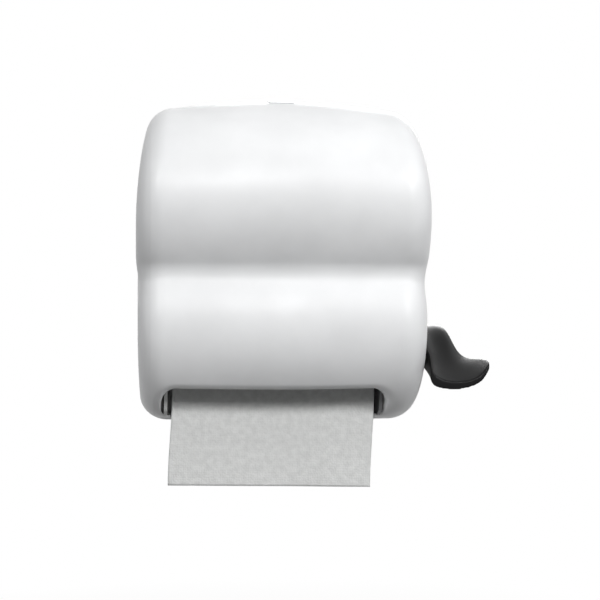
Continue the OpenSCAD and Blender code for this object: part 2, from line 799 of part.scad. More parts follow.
module towel_tail() {
    z0 = -nip_drop - tail_l;
    color("whitesmoke") plate_x([[sheet_y - paper / 2, z0], [sheet_y + paper / 2, z0],
        [sheet_y + paper / 2, tail_top], [sheet_y - paper / 2, tail_top]], roll_x0, roll_x1);
}

// ---- feed roller ----

feed_shaft_r = feed_shaft_d / 2;
bush_r = feed_shaft_r + 3;
bush_flange = 1.5;
drum_r = feed_r - 2;
ring_n = 6;
ring_w = 20;
feed_shaft_x0 = frame_l0 - 6;
feed_shaft_x1 = gear_x1 + 4.5;

module feed_shaft() {
    color("silver") rod_x(feed, feed_shaft_r, feed_shaft_x0, feed_shaft_x1);
}

module feed_drum() {
    color("dimgray") ring_x(feed, drum_r, feed_shaft_r + seat_fit, roll_x0 + 1, roll_x1 - 1);
}

module feed_rings() {
    span = roll_w - 12 - ring_w;
    color("gray") for (i = [0:ring_n - 1])
        let (x = roll_x0 + 6 + span * i / (ring_n - 1))
        ring_x(feed, feed_r, drum_r + seat_fit, x, x + ring_w);
}

module bush(at, r_out, r_in, x, length, dir) {
    x1 = x + dir * length;
    xf = x - dir * bush_flange;
    difference() {
        union() {
            rod_x(at, r_out, min(x, x1), max(x, x1));
            rod_x(at, r_out + 2, min(x, xf), max(x, xf));
        }
        rod_x(at, r_in, min(x1, xf) - 1, max(x1, xf) + 1);
    }
}

module feed_bushes() {
    color("ivory") {
        bush(feed, bush_r, feed_shaft_r + run_fit, frame_l0, frame_t + 1, 1);
        bush(feed, bush_r, feed_shaft_r + run_fit, frame_r1, frame_t + 1, -1);
    }
}

module clip(at, r, x) {
    difference() {
        ring_x(at, r + 2.5, r + seat_fit, x, x + 1);
        along_x(x - 1) translate([at[0], at[1] - r - 4, 0])
            linear_extrude(3) translate([-r * 0.6, 0]) square([r * 1.2, r + 4]);
    }
}

module feed_clips() {
    color("dimgray") {
        clip(feed, feed_shaft_r, feed_shaft_x0 + 1.5);
        clip(feed, feed_shaft_r, gear_x1 + pass_gap);
    }
}

sleeve_r = feed_shaft_r + 2;
module clutch_sleeve() {
    color("silver") ring_x(feed, sleeve_r, feed_shaft_r + seat_fit,
        frame_r1 + bush_flange + pass_gap, gear_x1);
}

module pinion_gear() {
    color("ivory") difference() {
        gear_x(feed, small_teeth, pinion_phase);
        rod_x(feed, sleeve_r + run_fit, gear_x0 - 1, gear_x1 + 1);
    }
}

stud_r = 4;
module idler_gear() {
    color("ivory") difference() {
        gear_x(idler, small_teeth, idler_phase);
        rod_x(idler, stud_r + run_fit, gear_x0 - 1, gear_x1 + 1);
    }
}

module idler_stud() {
    color("silver") {
        rod_x(idler, stud_r, frame_r0, gear_x1 + 3);
        ring_x(idler, stud_r + 3, stud_r, frame_r1, gear_x0 - pass_gap);
    }
}

module idler_clip() {
    color("dimgray") clip(idler, stud_r, gear_x1 + pass_gap);
}

// ---- lever ----

lever_shaft_r = lever_shaft_d / 2;
lever_bush_r = lever_shaft_r + 3;
housing_r = lever_bush_r + 3;
lever_x0 = half_w + 1;
housing_x1 = half_w - 1.5;
shaft_x0 = frame_r0 - 6;
shaft_x1 = lever_x0 + hub_w - 6;
sector_margin = 13;
sector_pitch = 360 / sector_teeth;
sector_behind = ceil((lever_travel + sector_margin) / sector_pitch);
sector_ahead = ceil(sector_margin / sector_pitch);
sector_a0 = sector_phase - (sector_behind + 0.5) * sector_pitch;
sector_a1 = sector_phase + (sector_ahead + 0.5) * sector_pitch;

module sector_gear() {
    root_r = sector_pitch_r - 1.25 * gear_m;
    rim = [for (i = [-sector_behind:sector_ahead])
        each tooth(sector_teeth, sector_phase + i * sector_pitch)];
    color("ivory") difference() {
        union() {
            along_x(gear_x0) translate([pivot[0], pivot[1], 0]) linear_extrude(gear_w)
                polygon(concat([[0, 0], on_circle([0, 0], root_r, sector_a0)], rim,
                    [on_circle([0, 0], root_r, sector_a1)]));
            rod_x(pivot, lever_shaft_r + 6, frame_r1 + bush_flange + pass_gap, gear_x1);
        }
        rod_x(pivot, lever_shaft_r + seat_fit, gear_x0 - 10, gear_x1 + 1);
        along_x(gear_x0 - 1) translate([pivot[0], pivot[1], 0]) linear_extrude(gear_w + 2)
            polygon(sector_window((sector_a0 + sector_a1) / 2,
                (sector_a1 - sector_a0) / 2 - 14, root_r - 6));
    }
}

// The opening in the sector's web
function sector_window(mid, spread, r) = concat(
    arc([0, 0], r, mid - spread, mid + spread, 8),
    arc([0, 0], lever_shaft_r + 10, mid + spread, mid - spread, 6));

module lever_shaft() {
    color("silver") difference() {
        rod_x(pivot, lever_shaft_r, shaft_x0, shaft_x1);
        lever_pin_hole();
    }
}

pin_x = lever_x0 + 9;
pin_r = 2;
module lever_pin_hole() {
    translate([pin_x, pivot[0], pivot[1] - hub_d / 2 - 1])
        cylinder(r = pin_r + seat_fit, h = hub_d / 2 + lever_shaft_r + 4);
}

module lever_pin() {
    color("silver") translate([pin_x, pivot[0], pivot[1] - hub_d / 2 + 4])
        cylinder(r = pin_r, h = hub_d / 2 + lever_shaft_r - 2);
}

module lever_bushes() {
    color("ivory") {
        bush(pivot, lever_bush_r, lever_shaft_r + run_fit, frame_r0, frame_t, 1);
        bush(pivot, lever_bush_r, lever_shaft_r + run_fit, housing_x1 - bush_flange, 8, -1);
    }
}

module lever_spring() {
    color("silver") along_x(gear_x1 + pass_gap) translate([pivot[0], pivot[1], 0])
        coil(lever_shaft_r + 3.4, 1, spring_room - 2 * pass_gap, 5);
}

// Bumper that the sector's rear edge rests on
bumper_reach = 32;
bumper_at = on_circle(pivot, bumper_reach, sector_a0)
    + (bumper_r + pass_gap) * [sin(sector_a0), -cos(sector_a0)];
module rest_bumper() {
    color("dimgray") rod_x(bumper_at, bumper_r, frame_r1, gear_x1);
}

// Posts that carry the gear plate on the right side frame
plate_posts = [pivot + [27, -28], feed + [-24, 14], idler + [8, 33]];
post_r = 5;

module gear_plate() {
    color("darkgray") difference() {
        union() {
            along_x(plate_x0) linear_extrude(plate_x1 - plate_x0) hull() {
                for (p = plate_posts) translate(p) circle(r = 2 * post_r, $fn = 24);
                translate(pivot) circle(r = 2 * housing_r, $fn = 48);
                translate(feed) circle(r = 2 * bush_r, $fn = 48);
            }
            for (p = plate_posts) rod_x(p, post_r, frame_r1, plate_x0);
            rod_x(pivot, housing_r, plate_x1 - eps, housing_x1 - bush_flange);
        }
        rod_x(pivot, lever_shaft_r + 1, plate_x0 - 1, half_w);
        rod_x(pivot, lever_bush_r + seat_fit, housing_x1 - bush_flange - 8, half_w);
        for (p = plate_posts) rod_x(p, screw_r + run_fit, frame_r1 - 1, plate_x1 + 1);
    }
}

module case_screws() {
    color("silver") for (p = plate_posts) {
        rod_x(p, screw_r, frame_r0 + screw_tip, plate_x1);
        along_x(plate_x1) translate([p[0], p[1], 0]) screw_head();
    }
}

// Net of the paddle's upper face. Its rows run from the hub to the front edge and its
// columns outwards from the cover, in percent of the paddle's reach, length and rise.
paddle_net = [
    [[0, 1, 97], [11, 1, 99], [21, 1, 99], [28, 1, 96], [35, 1, 89]],
    [[0, 27, 94], [12, 29, 94], [25, 29, 97], [38, 27, 100], [45, 24, 99]],
    [[0, 52, 83], [14, 52, 71], [31, 52, 71], [45, 49, 81], [53, 44, 81]],
    [[0, 72, 67], [12, 75, 46], [30, 76, 40], [45, 72, 44], [63, 61, 43]],
    [[0, 89, 57], [5, 90, 31], [30, 92, 20], [69, 86, 26], [103, 72, 47]],
    [[0, 98, 51], [0, 100, 20], [38, 100, 9], [84, 98, 17], [98, 93, 41]]];
across = 20;
along = 14;

function paddle_top(s, t) = let (
    q = spline([for (row = paddle_net) spline(row, s)], t) / 100)
    [lever_x0 + q[0] * paddle_reach, lerp(pivot[0], -paddle_front, q[1]),
        pivot[1] - paddle_drop + q[2] * paddle_rise];
function paddle_depth(s, t) = paddle_t + 17 * pow(1 - s, 4) + 23 * pow(1 - t, 2);
function paddle_point(s, t, side) = paddle_top(s, t) - [0, 0, side * paddle_depth(s, t)];

module paddle() {
    n = across + 1;
    low = n * (along + 1);
    points = [for (side = [0, 1], j = [0:along], i = [0:across])
        paddle_point(i / across, j / along, side)];
    quads = concat(
        [for (j = [0:along - 1], i = [0:across - 1]) let (a = j * n + i)
            each [[a, a + 1, a + n + 1, a + n],
                [low + a, low + a + n, low + a + n + 1, low + a + 1]]],
        [for (i = [0:across - 1]) let (a = along * n + i)
            each [[i, low + i, low + i + 1, i + 1], [a, a + 1, low + a + 1, low + a]]],
        [for (j = [0:along - 1]) let (a = j * n, b = a + across)
            each [[a, a + n, low + a + n, low + a], [b, low + b, low + b + n, b + n]]]);
    polyhedron(points, [for (q = quads) each [[q[0], q[1], q[2]], [q[0], q[2], q[3]]]]);
}

module lever() {
    edge_r = 16;
    hub_r = hub_d / 2;
    color([0.12, 0.12, 0.12]) resize([0, 0, 0]) difference() {
        union() {
            paddle();
            along_x(lever_x0) translate([pivot[0], pivot[1], 0]) rotate_extrude($fn = 48)
                polygon(concat([[0, 0], [hub_r - 1.5, 0], [hub_r, 1.5]],
                    arc([hub_r - edge_r, hub_w - edge_r], edge_r, 0, 90, 6), [[0, hub_w]]));
        }
        along_x(lever_x0 - 1) translate([pivot[0], pivot[1], 0])
            cylinder(r = lever_shaft_r + seat_fit, h = shaft_x1 - lever_x0 + 1.5);
        lever_pin_hole();
    }
}

// ---- pinch roller, tear bar ----

pinch_axle_r = 3;
pivot_pin_r = 2.5;
ear_t = 2.5;
ear_l0 = frame_l1 + 1;
ear_r1 = frame_r0 - 1;

module pinch_roller() {
    color("gray") ring_x(pinch, pinch_r, pinch_axle_r + run_fit, ear_l0 + ear_t + 2, ear_r1 - ear_t - 2);
}

module pinch_axle() {
    color("silver") rod_x(pinch, pinch_axle_r, ear_l0, ear_r1);
}

module pinch_bracket() {
    low = pinch[1] - 13;
    ear = rounded([[bracket_y, low], [pinch[0] + 5, low + 7], [pinch[0] + 5, pinch[1] + 6],
        [bracket_pivot[0] + 6, bracket_pivot[1] + 8], [bracket_y, bracket_pivot[1] + 8]], 2, 3);
    color("silver") difference() {
        union() {
            box_between([ear_l0, bracket_y - bracket_t, low], [ear_r1, bracket_y, bracket_pivot[1] + 27]);
            for (x = [ear_l0, ear_r1 - ear_t]) plate_x(ear, x, x + ear_t);
        }
        rod_x(pinch, pinch_axle_r + seat_fit, ear_l0 - 1, ear_r1 + 1);
        rod_x(bracket_pivot, pivot_pin_r + run_fit, ear_l0 - 1, ear_r1 + 1);
    }
}

module pinch_pivots() {
    color("silver") {
        rod_x(bracket_pivot, pivot_pin_r, frame_l0, ear_l0 + ear_t + 1);
        rod_x(bracket_pivot, pivot_pin_r, ear_r1 - ear_t - 1, frame_r1);
    }
}

module spring_bar() {
    color("silver") {
        box_between([frame_l1, spring_y - bracket_t, spring_z - 9], [frame_r0, spring_y, spring_z + 9]);
        for (x = spring_xs) translate([x, 0, spring_z]) to_front(spring_y - bracket_t)
            cylinder(r = 2.5, h = 5);
    }
}

module pinch_springs() {
    length = spring_y - bracket_t - bracket_y - 2 * pass_gap;
    color("silver") for (x = spring_xs) translate([x, 0, spring_z])
        to_front(spring_y - bracket_t - pass_gap) coil(3.9, 0.6, length, 5);
}

tear_y = sheet_y - paper / 2 - 2.5;
tear_t = 1.5;
tear_z1 = pinch[1] - 14;
tear_z0 = slot_top - 1.5;
tooth_w = 4;
tab_l = 12;
tear_screw = [tear_y - tear_t - tab_l / 2, (tear_z0 + tear_z1) / 2 + 1];

module tear_bar() {
    width = frame_r0 - frame_l1;
    teeth = floor((width - 6) / tooth_w);
    x0 = (frame_l1 + frame_r0 - teeth * tooth_w) / 2;
    edge = [for (i = [0:teeth - 1]) each
        [[x0 + i * tooth_w, tear_z0 + 2], [x0 + (i + 0.5) * tooth_w, tear_z0]]];
    color("silver") difference() {
        union() {
            to_front(tear_y) linear_extrude(tear_t) polygon(concat([[frame_l1, tear_z1],
                [frame_l1, tear_z0 + 2]], edge, [[frame_r0, tear_z0 + 2], [frame_r0, tear_z1]]));
            for (x = [frame_l1, frame_r0 - tear_t])
                box_between([x, tear_y - tear_t - tab_l, tear_z0 + 2],
                    [x + tear_t, tear_y - tear_t + eps, tear_z1]);
        }
        rod_x(tear_screw, screw_r + slack, frame_l1 - 1, frame_r0 + 1);
    }
}

module tear_bar_screws() {
    color("silver") for (side = [-1, 1]) {
        x = side < 0 ? frame_l1 + tear_t : frame_r0 - tear_t;
        translate([x, tear_screw[0], tear_screw[1]]) rotate([0, -side * 90, 0]) {
            screw_head();
            translate([0, 0, -frame_t - tear_t]) cylinder(r = screw_r, h = frame_t + tear_t);
        }
    }
}

cabinet_tray();
side_frame_left();
side_frame_right();
gear_plate();
case_screws();
frame_screws();
roll_arm_left();
arm_bracket();
arm_hinge_pin();
roll_arm_right();
arm_spring();
hub_left();
hub_right();
towel_core();
towel_roll();
towel_web();
towel_tail();
guide_bar();
feed_shaft();
feed_drum();
feed_rings();
feed_bushes();
feed_clips();
clutch_sleeve();
pinion_gear();
idler_gear();
idler_stud();
idler_clip();
sector_gear();
lever_shaft();
lever_bushes();
lever_spring();
rest_bumper();
lever();
lever_pin();
pinch_bracket();
pinch_roller();
pinch_axle();
pinch_pivots();
pinch_springs();
spring_bar();
tear_bar();
tear_bar_screws();
cover();
cover_hinge_arms();
hinge_pins();
lock_plate();
lock_barrel();
lock_nut();
lock_plug();
lock_cam();
lock_catch();
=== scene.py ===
"""Looks of a wall-mounted lever dispenser for rolled paper towel.

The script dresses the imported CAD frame. Sizes inside the classes are millimetres and
Blender's own numbers are metres. X runs towards the lever, -Y faces the user and +Z is up.
"""
import json
import logging
import math
from abc import ABC, abstractmethod
from dataclasses import dataclass, field
from enum import Enum
from typing import Any, Callable, Iterable, Mapping, Sequence

import bmesh
import bpy
import numpy as np
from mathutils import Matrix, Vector

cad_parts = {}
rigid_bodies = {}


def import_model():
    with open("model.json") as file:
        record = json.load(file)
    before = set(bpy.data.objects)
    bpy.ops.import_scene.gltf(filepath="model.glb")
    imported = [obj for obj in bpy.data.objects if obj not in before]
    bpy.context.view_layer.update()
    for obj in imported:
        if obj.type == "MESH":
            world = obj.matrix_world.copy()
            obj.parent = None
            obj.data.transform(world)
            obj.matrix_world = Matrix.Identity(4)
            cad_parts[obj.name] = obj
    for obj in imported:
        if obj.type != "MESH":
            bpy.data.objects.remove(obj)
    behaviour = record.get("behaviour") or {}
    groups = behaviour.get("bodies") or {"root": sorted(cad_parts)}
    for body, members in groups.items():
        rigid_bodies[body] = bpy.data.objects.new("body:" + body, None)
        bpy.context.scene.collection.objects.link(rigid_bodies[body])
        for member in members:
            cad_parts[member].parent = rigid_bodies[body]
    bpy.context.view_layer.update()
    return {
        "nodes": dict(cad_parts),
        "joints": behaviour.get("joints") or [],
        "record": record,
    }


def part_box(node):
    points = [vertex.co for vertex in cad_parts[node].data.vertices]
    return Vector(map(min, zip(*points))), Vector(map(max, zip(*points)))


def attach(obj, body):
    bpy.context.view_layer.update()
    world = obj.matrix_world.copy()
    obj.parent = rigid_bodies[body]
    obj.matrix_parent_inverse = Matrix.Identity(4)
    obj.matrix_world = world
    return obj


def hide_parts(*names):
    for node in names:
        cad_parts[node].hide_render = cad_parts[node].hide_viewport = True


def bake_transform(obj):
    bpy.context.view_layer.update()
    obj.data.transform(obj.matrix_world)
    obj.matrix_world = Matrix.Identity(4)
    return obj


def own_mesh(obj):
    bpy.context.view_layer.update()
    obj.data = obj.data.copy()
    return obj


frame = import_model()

MM = 0.001
log = logging.getLogger("towel_dispenser")


# ---- small helpers ----


def linear(hex_colour: str) -> tuple[float, float, float, float]:
    """Turn an sRGB hex colour into linear RGBA.

    Args:
        hex_colour: A colour such as "#ECEDEE".

    Returns:
        Linear red, green, blue and an alpha of one.
    """
    parts = [int(hex_colour[i:i + 2], 16) / 255 for i in (1, 3, 5)]
    red, green, blue = (c / 12.92 if c <= 0.04045 else ((c + 0.055) / 1.055) ** 2.4 for c in parts)
    return red, green, blue, 1.0


def add_node(
    tree: bpy.types.NodeTree,
    kind: str,
    settings: Mapping[str | int, Any] | None = None,
    links: Mapping[str | int, bpy.types.NodeSocket] | None = None,
) -> bpy.types.Node:
    """Add one node to a tree.

    Args:
        tree: The tree that gets the node.
        kind: The node's type name.
        settings: Input values by socket name or number, and the node's own properties.
        links: The sockets that feed the node's inputs.

    Returns:
        The new node.
    """
    node = tree.nodes.new(kind)
    for name, value in (settings or {}).items():
        if isinstance(name, int) or name in node.inputs:
            node.inputs[name].default_value = value
        else:
            setattr(node, name, value)
    for name, source in (links or {}).items():
        tree.links.new(source, node.inputs[name])
    return node


def mesh_object(
    name: str,
    points: Iterable[Sequence[float]],
    faces: Iterable[Sequence[int]],
    smooth: bool = True,
) -> bpy.types.Object:
    """Make a mesh object at the origin.

    Args:
        name: The object's name.
        points: The vertices, in millimetres.
        faces: The faces, as vertex numbers.
        smooth: Whether the faces are shaded smooth.

    Returns:
        The new object, linked to the scene.
    """
    mesh = bpy.data.meshes.new(name)
    places = [tuple(float(c) * MM for c in p) for p in points]
    mesh.from_pydata(places, [], [tuple(f) for f in faces])
    mesh.update()
    if smooth:
        mesh.shade_smooth()
    obj = bpy.data.objects.new(name, mesh)
    bpy.context.scene.collection.objects.link(obj)
    return obj


def apply_modifiers(obj: bpy.types.Object) -> None:
    """Turn an object's modifiers into plain mesh.

    Args:
        obj: The object, which keeps its name and its place.
    """
    graph = bpy.context.evaluated_depsgraph_get()
    mesh = bpy.data.meshes.new_from_object(
        obj.evaluated_get(graph), preserve_all_data_layers=True, depsgraph=graph)
    obj.modifiers.clear()
    obj.data = mesh


def cut_away(obj: bpy.types.Object, cutter: bpy.types.Object) -> None:
    """Cut one closed mesh out of another and delete the cutter.

    Args:
        obj: The mesh that is cut.
        cutter: The mesh that is taken away.
    """
    cut = obj.modifiers.new("Cut", "BOOLEAN")
    cut.operation, cut.solver, cut.object = "DIFFERENCE", "EXACT", cutter
    apply_modifiers(obj)
    bpy.data.objects.remove(cutter)


def faces_outwards(obj: bpy.types.Object) -> None:
    """Turn the faces of a closed mesh outwards."""
    body = bmesh.new()
    body.from_mesh(obj.data)
    bmesh.ops.recalc_face_normals(body, faces=body.faces)
    body.to_mesh(obj.data)
    body.free()


def shade(obj: bpy.types.Object, crease_deg: float) -> None:
    """Shade an object smooth, with the edges past an angle kept sharp."""
    obj.data.shade_smooth()
    obj.data.set_sharp_from_angle(angle=math.radians(crease_deg))


def paint(obj: bpy.types.Object, material: bpy.types.Material) -> None:
    """Give an object one material and no other."""
    obj.data.materials.clear()
    obj.data.materials.append(material)


def prism(
    name: str, outline: Sequence[Sequence[float]], axis: int, start: float, end: float
) -> bpy.types.Object:
    """Make a closed prism along X or Z.

    Args:
        name: The object's name.
        outline: Corners in the two other directions, anticlockwise seen from the far end.
        axis: 0 for a prism along X and 2 for one along Z.
        start: The lower end.
        end: The upper end.

    Returns:
        The prism.
    """
    n = len(outline)
    points = [(*corner[:axis], at, *corner[axis:]) for at in (start, end) for corner in outline]
    faces = [tuple(range(n - 1, -1, -1)), tuple(range(n, 2 * n))]
    faces += [(i, (i + 1) % n, n + (i + 1) % n, n + i) for i in range(n)]
    return mesh_object(name, points, faces, smooth=False)


def lathe_x(
    name: str, centre: Sequence[float], profile: Sequence[Sequence[float]], steps: int = 96
) -> bpy.types.Object:
    """Turn a closed profile about an axis along X.

    Args:
        name: The object's name.
        centre: The axis, as (y, z).
        profile: (x, radius) corners of the closed section.
        steps: Faces round the axis.

    Returns:
        The turned solid, with its faces outwards.
    """
    m = len(profile)
    points = [
        (x, centre[0] + r * math.cos(a), centre[1] + r * math.sin(a))
        for a in (2 * math.pi * k / steps for k in range(steps))
        for x, r in profile]
    faces = [
        (k * m + i, ((k + 1) % steps) * m + i,
         ((k + 1) % steps) * m + (i + 1) % m, k * m + (i + 1) % m)
        for k in range(steps) for i in range(m)]
    obj = mesh_object(name, points, faces)
    faces_outwards(obj)
    shade(obj, 40)
    return obj


def smoothstep(t: Any) -> Any:
    """Return the smooth rise from 0 to 1 of a number or an array."""
    c = np.clip(t, 0.0, 1.0)
    return c * c * (3 - 2 * c)


def box_mm(node: str) -> tuple[np.ndarray, np.ndarray]:
    """Return a CAD node's lowest and highest corners in millimetres."""
    low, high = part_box(node)
    return np.array(low) / MM, np.array(high) / MM


def half_size(node: str, axis: int) -> float:
    """Return half a CAD node's size along an axis (0, 1 or 2), in millimetres."""
    low, high = box_mm(node)
    return (high[axis] - low[axis]) / 2


def joint_place(name: str) -> np.ndarray:
    """Return the place of a joint in millimetres."""
    return next(np.array(j["pos_m"]) / MM for j in frame["joints"] if j["name"] == name)


def islands(node: str) -> list[tuple[np.ndarray, np.ndarray]]:
    """Find the separate solids of a CAD node.

    Args:
        node: The CAD node's name.

    Returns:
        The lowest and highest corner of each solid, in millimetres.
    """
    body = bmesh.new()
    body.from_mesh(frame["nodes"][node].data)
    bmesh.ops.remove_doubles(body, verts=body.verts, dist=1e-6)
    left, found = set(body.verts), []
    while left:
        group, edge = set(), [left.pop()]
        while edge:
            vert = edge.pop()
            group.add(vert)
            near = {link.other_vert(vert) for link in vert.link_edges} & left
            left -= near
            edge.extend(near)
        places = np.array([v.co for v in group]) / MM
        found.append((places.min(0), places.max(0)))
    body.free()
    return sorted(found, key=lambda pair: tuple(pair[0].round(1)))


# ---- finishes ----


class Grain(Enum):
    """How a surface was made, as the direction that its fine marks run in."""

    MOULDED = (1.0, 1.0, 1.0)
    DRAWN_ALONG_X = (0.04, 1.0, 1.0)


@dataclass(frozen=True)
class Finish:
    """A real material: its colour, how dull it is and the marks that its making left."""

    name: str
    colour: str
    shade: str
    roughness: float
    spread: float = 0.05
    metallic: float = 0.0
    coat: float = 0.0
    specular: float = 0.5
    patch_mm: float = 40.0
    grain_mm: float = 0.8
    depth_mm: float = 0.02
    grain: Grain = Grain.MOULDED

    def build(self) -> bpy.types.Material:
        """Make the Blender material.

        Returns:
            A material with its colour, roughness and bump from procedural patterns.
        """
        material = bpy.data.materials.new(self.name)
        material.use_nodes = True
        tree = material.node_tree
        shader = tree.nodes["Principled BSDF"]
        shader.inputs["Metallic"].default_value = self.metallic
        shader.inputs["Specular IOR Level"].default_value = self.specular
        if self.coat:
            shader.inputs["Coat Weight"].default_value = self.coat
            shader.inputs["Coat Roughness"].default_value = 0.25
        self.pattern(tree, shader)
        return material

    def place(self, tree: bpy.types.NodeTree) -> bpy.types.NodeSocket:
        """Return the coordinates that the patterns follow, stretched along the grain."""
        coords = add_node(tree, "ShaderNodeTexCoord")
        stretch = add_node(tree, "ShaderNodeMapping", {"Scale": self.grain.value},
                           {"Vector": coords.outputs["Object"]})
        return stretch.outputs["Vector"]

    def noise(
        self, tree: bpy.types.NodeTree, at: bpy.types.NodeSocket, size_mm: float, detail: float
    ) -> bpy.types.NodeSocket:
        """Return a noise pattern of a real size.

        Args:
            tree: The material's tree.
            at: The coordinates, in metres.
            size_mm: The distance from one mark to the next.
            detail: How many finer layers the noise has.

        Returns:
            The pattern's value, from 0 to 1.
        """
        node = add_node(tree, "ShaderNodeTexNoise", {"Scale": 1 / (size_mm * MM), "Detail": detail},
                        {"Vector": at})
        return node.outputs["Fac"]

    def two_tone(
        self, tree: bpy.types.NodeTree, amount: bpy.types.NodeSocket, low: float, high: float
    ) -> bpy.types.NodeSocket:
        """Return the colour that goes from the main tone to the shade.

        Args:
            tree: The material's tree.
            amount: The pattern that mixes them.
            low: The pattern's value where the shade begins.
            high: The pattern's value where the shade is full.

        Returns:
            The mixed colour.
        """
        share = add_node(tree, "ShaderNodeMapRange", {"From Min": low, "From Max": high},
                         {"Value": amount})
        mix = add_node(tree, "ShaderNodeMix",
                       {"data_type": "RGBA", 6: linear(self.colour), 7: linear(self.shade)},
                       {0: share.outputs["Result"]})
        return mix.outputs[2]

    def pattern(self, tree: bpy.types.NodeTree, shader: bpy.types.Node) -> None:
        """Lay the colour, roughness and bump patterns on the shader.

        Args:
            tree: The material's tree.
            shader: Its Principled BSDF.
        """
        at = self.place(tree)
        patches = self.noise(tree, at, self.patch_mm, 3.0)
        fine = self.noise(tree, at, self.grain_mm, 2.0)
        tree.links.new(self.two_tone(tree, patches, 0.35, 0.7), shader.inputs["Base Color"])
        dull = add_node(
            tree, "ShaderNodeMapRange",
            {"From Min": 0.3, "From Max": 0.7, "To Min": self.roughness - self.spread,
             "To Max": self.roughness + self.spread}, {"Value": patches})
        tree.links.new(dull.outputs["Result"], shader.inputs["Roughness"])
        bump = add_node(tree, "ShaderNodeBump", {"Distance": self.depth_mm * MM}, {"Height": fine})
        tree.links.new(bump.outputs["Normal"], shader.inputs["Normal"])


@dataclass(frozen=True)
class EmbossedPaper(Finish):
    """Soft crepe paper with a rolled-in emboss, which follows the sheet's own UV map."""

    emboss_mm: float = 2.4

    def place(self, tree: bpy.types.NodeTree) -> bpy.types.NodeSocket:
        """Return the sheet's own coordinates, which are its real metres."""
        return add_node(tree, "ShaderNodeUVMap", {"uv_map": "UVMap"}).outputs["UV"]

    def pattern(self, tree: bpy.types.NodeTree, shader: bpy.types.Node) -> None:
        """Lay the crepe and the emboss on the shader.

        Args:
            tree: The material's tree.
            shader: Its Principled BSDF.
        """
        at = self.place(tree)
        cloud = self.noise(tree, at, self.patch_mm, 4.0)
        along = add_node(tree, "ShaderNodeMapping", {"Scale": (1.0, 0.35, 1.0)}, {"Vector": at})
        crepe = self.noise(tree, along.outputs["Vector"], self.grain_mm, 3.0)
        cells = add_node(tree, "ShaderNodeTexVoronoi",
                         {"Scale": 1 / (self.emboss_mm * MM), "Randomness": 0.55}, {"Vector": at})
        tree.links.new(self.two_tone(tree, cloud, 0.35, 0.65), shader.inputs["Base Color"])
        both = add_node(tree, "ShaderNodeMath", {"operation": "MULTIPLY_ADD", 1: 0.7},
                        {0: crepe, 2: cells.outputs["Distance"]})
        bump = add_node(tree, "ShaderNodeBump", {"Distance": self.depth_mm * MM},
                        {"Height": both.outputs[0]})
        tree.links.new(bump.outputs["Normal"], shader.inputs["Normal"])
        shader.inputs["Roughness"].default_value = self.roughness
        shader.inputs["Specular IOR Level"].default_value = 0.25


@dataclass(frozen=True)
class WoundPaper(Finish):
    """A roll of paper, with the edges of its turns as rings round the roll's middle."""

    axis_y_mm: float = 0.0
    axis_z_mm: float = 0.0
    ring_mm: float = 1.4

    def pattern(self, tree: bpy.types.NodeTree, shader: bpy.types.Node) -> None:
        """Lay the rings of the turns on the shader.

        Args:
            tree: The material's tree.
            shader: Its Principled BSDF.
        """
        coords = add_node(tree, "ShaderNodeTexCoord")
        centred = add_node(
            tree, "ShaderNodeMapping",
            {"Location": (0.0, -self.axis_y_mm * MM, -self.axis_z_mm * MM),
             "Scale": (0.0, 1.0, 1.0)},
            {"Vector": coords.outputs["Object"]})
        away = add_node(tree, "ShaderNodeVectorMath", {"operation": "LENGTH"},
                        {0: centred.outputs["Vector"]})
        rings = add_node(tree, "ShaderNodeMath",
                         {"operation": "MULTIPLY", 1: 1 / (self.ring_mm * MM)},
                         {0: away.outputs["Value"]})
        saw = add_node(tree, "ShaderNodeMath", {"operation": "PINGPONG", 1: 0.5},
                       {0: rings.outputs[0]})
        cloud = self.noise(tree, coords.outputs["Object"], self.patch_mm, 3.0)
        both = add_node(tree, "ShaderNodeMath", {"operation": "ADD"}, {0: saw.outputs[0], 1: cloud})
        tree.links.new(self.two_tone(tree, both.outputs[0], 0.45, 1.0), shader.inputs["Base Color"])
        bump = add_node(tree, "ShaderNodeBump", {"Distance": self.depth_mm * MM},
                        {"Height": saw.outputs[0]})
        tree.links.new(bump.outputs["Normal"], shader.inputs["Normal"])
        shader.inputs["Roughness"].default_value = self.roughness
        shader.inputs["Specular IOR Level"].default_value = 0.25


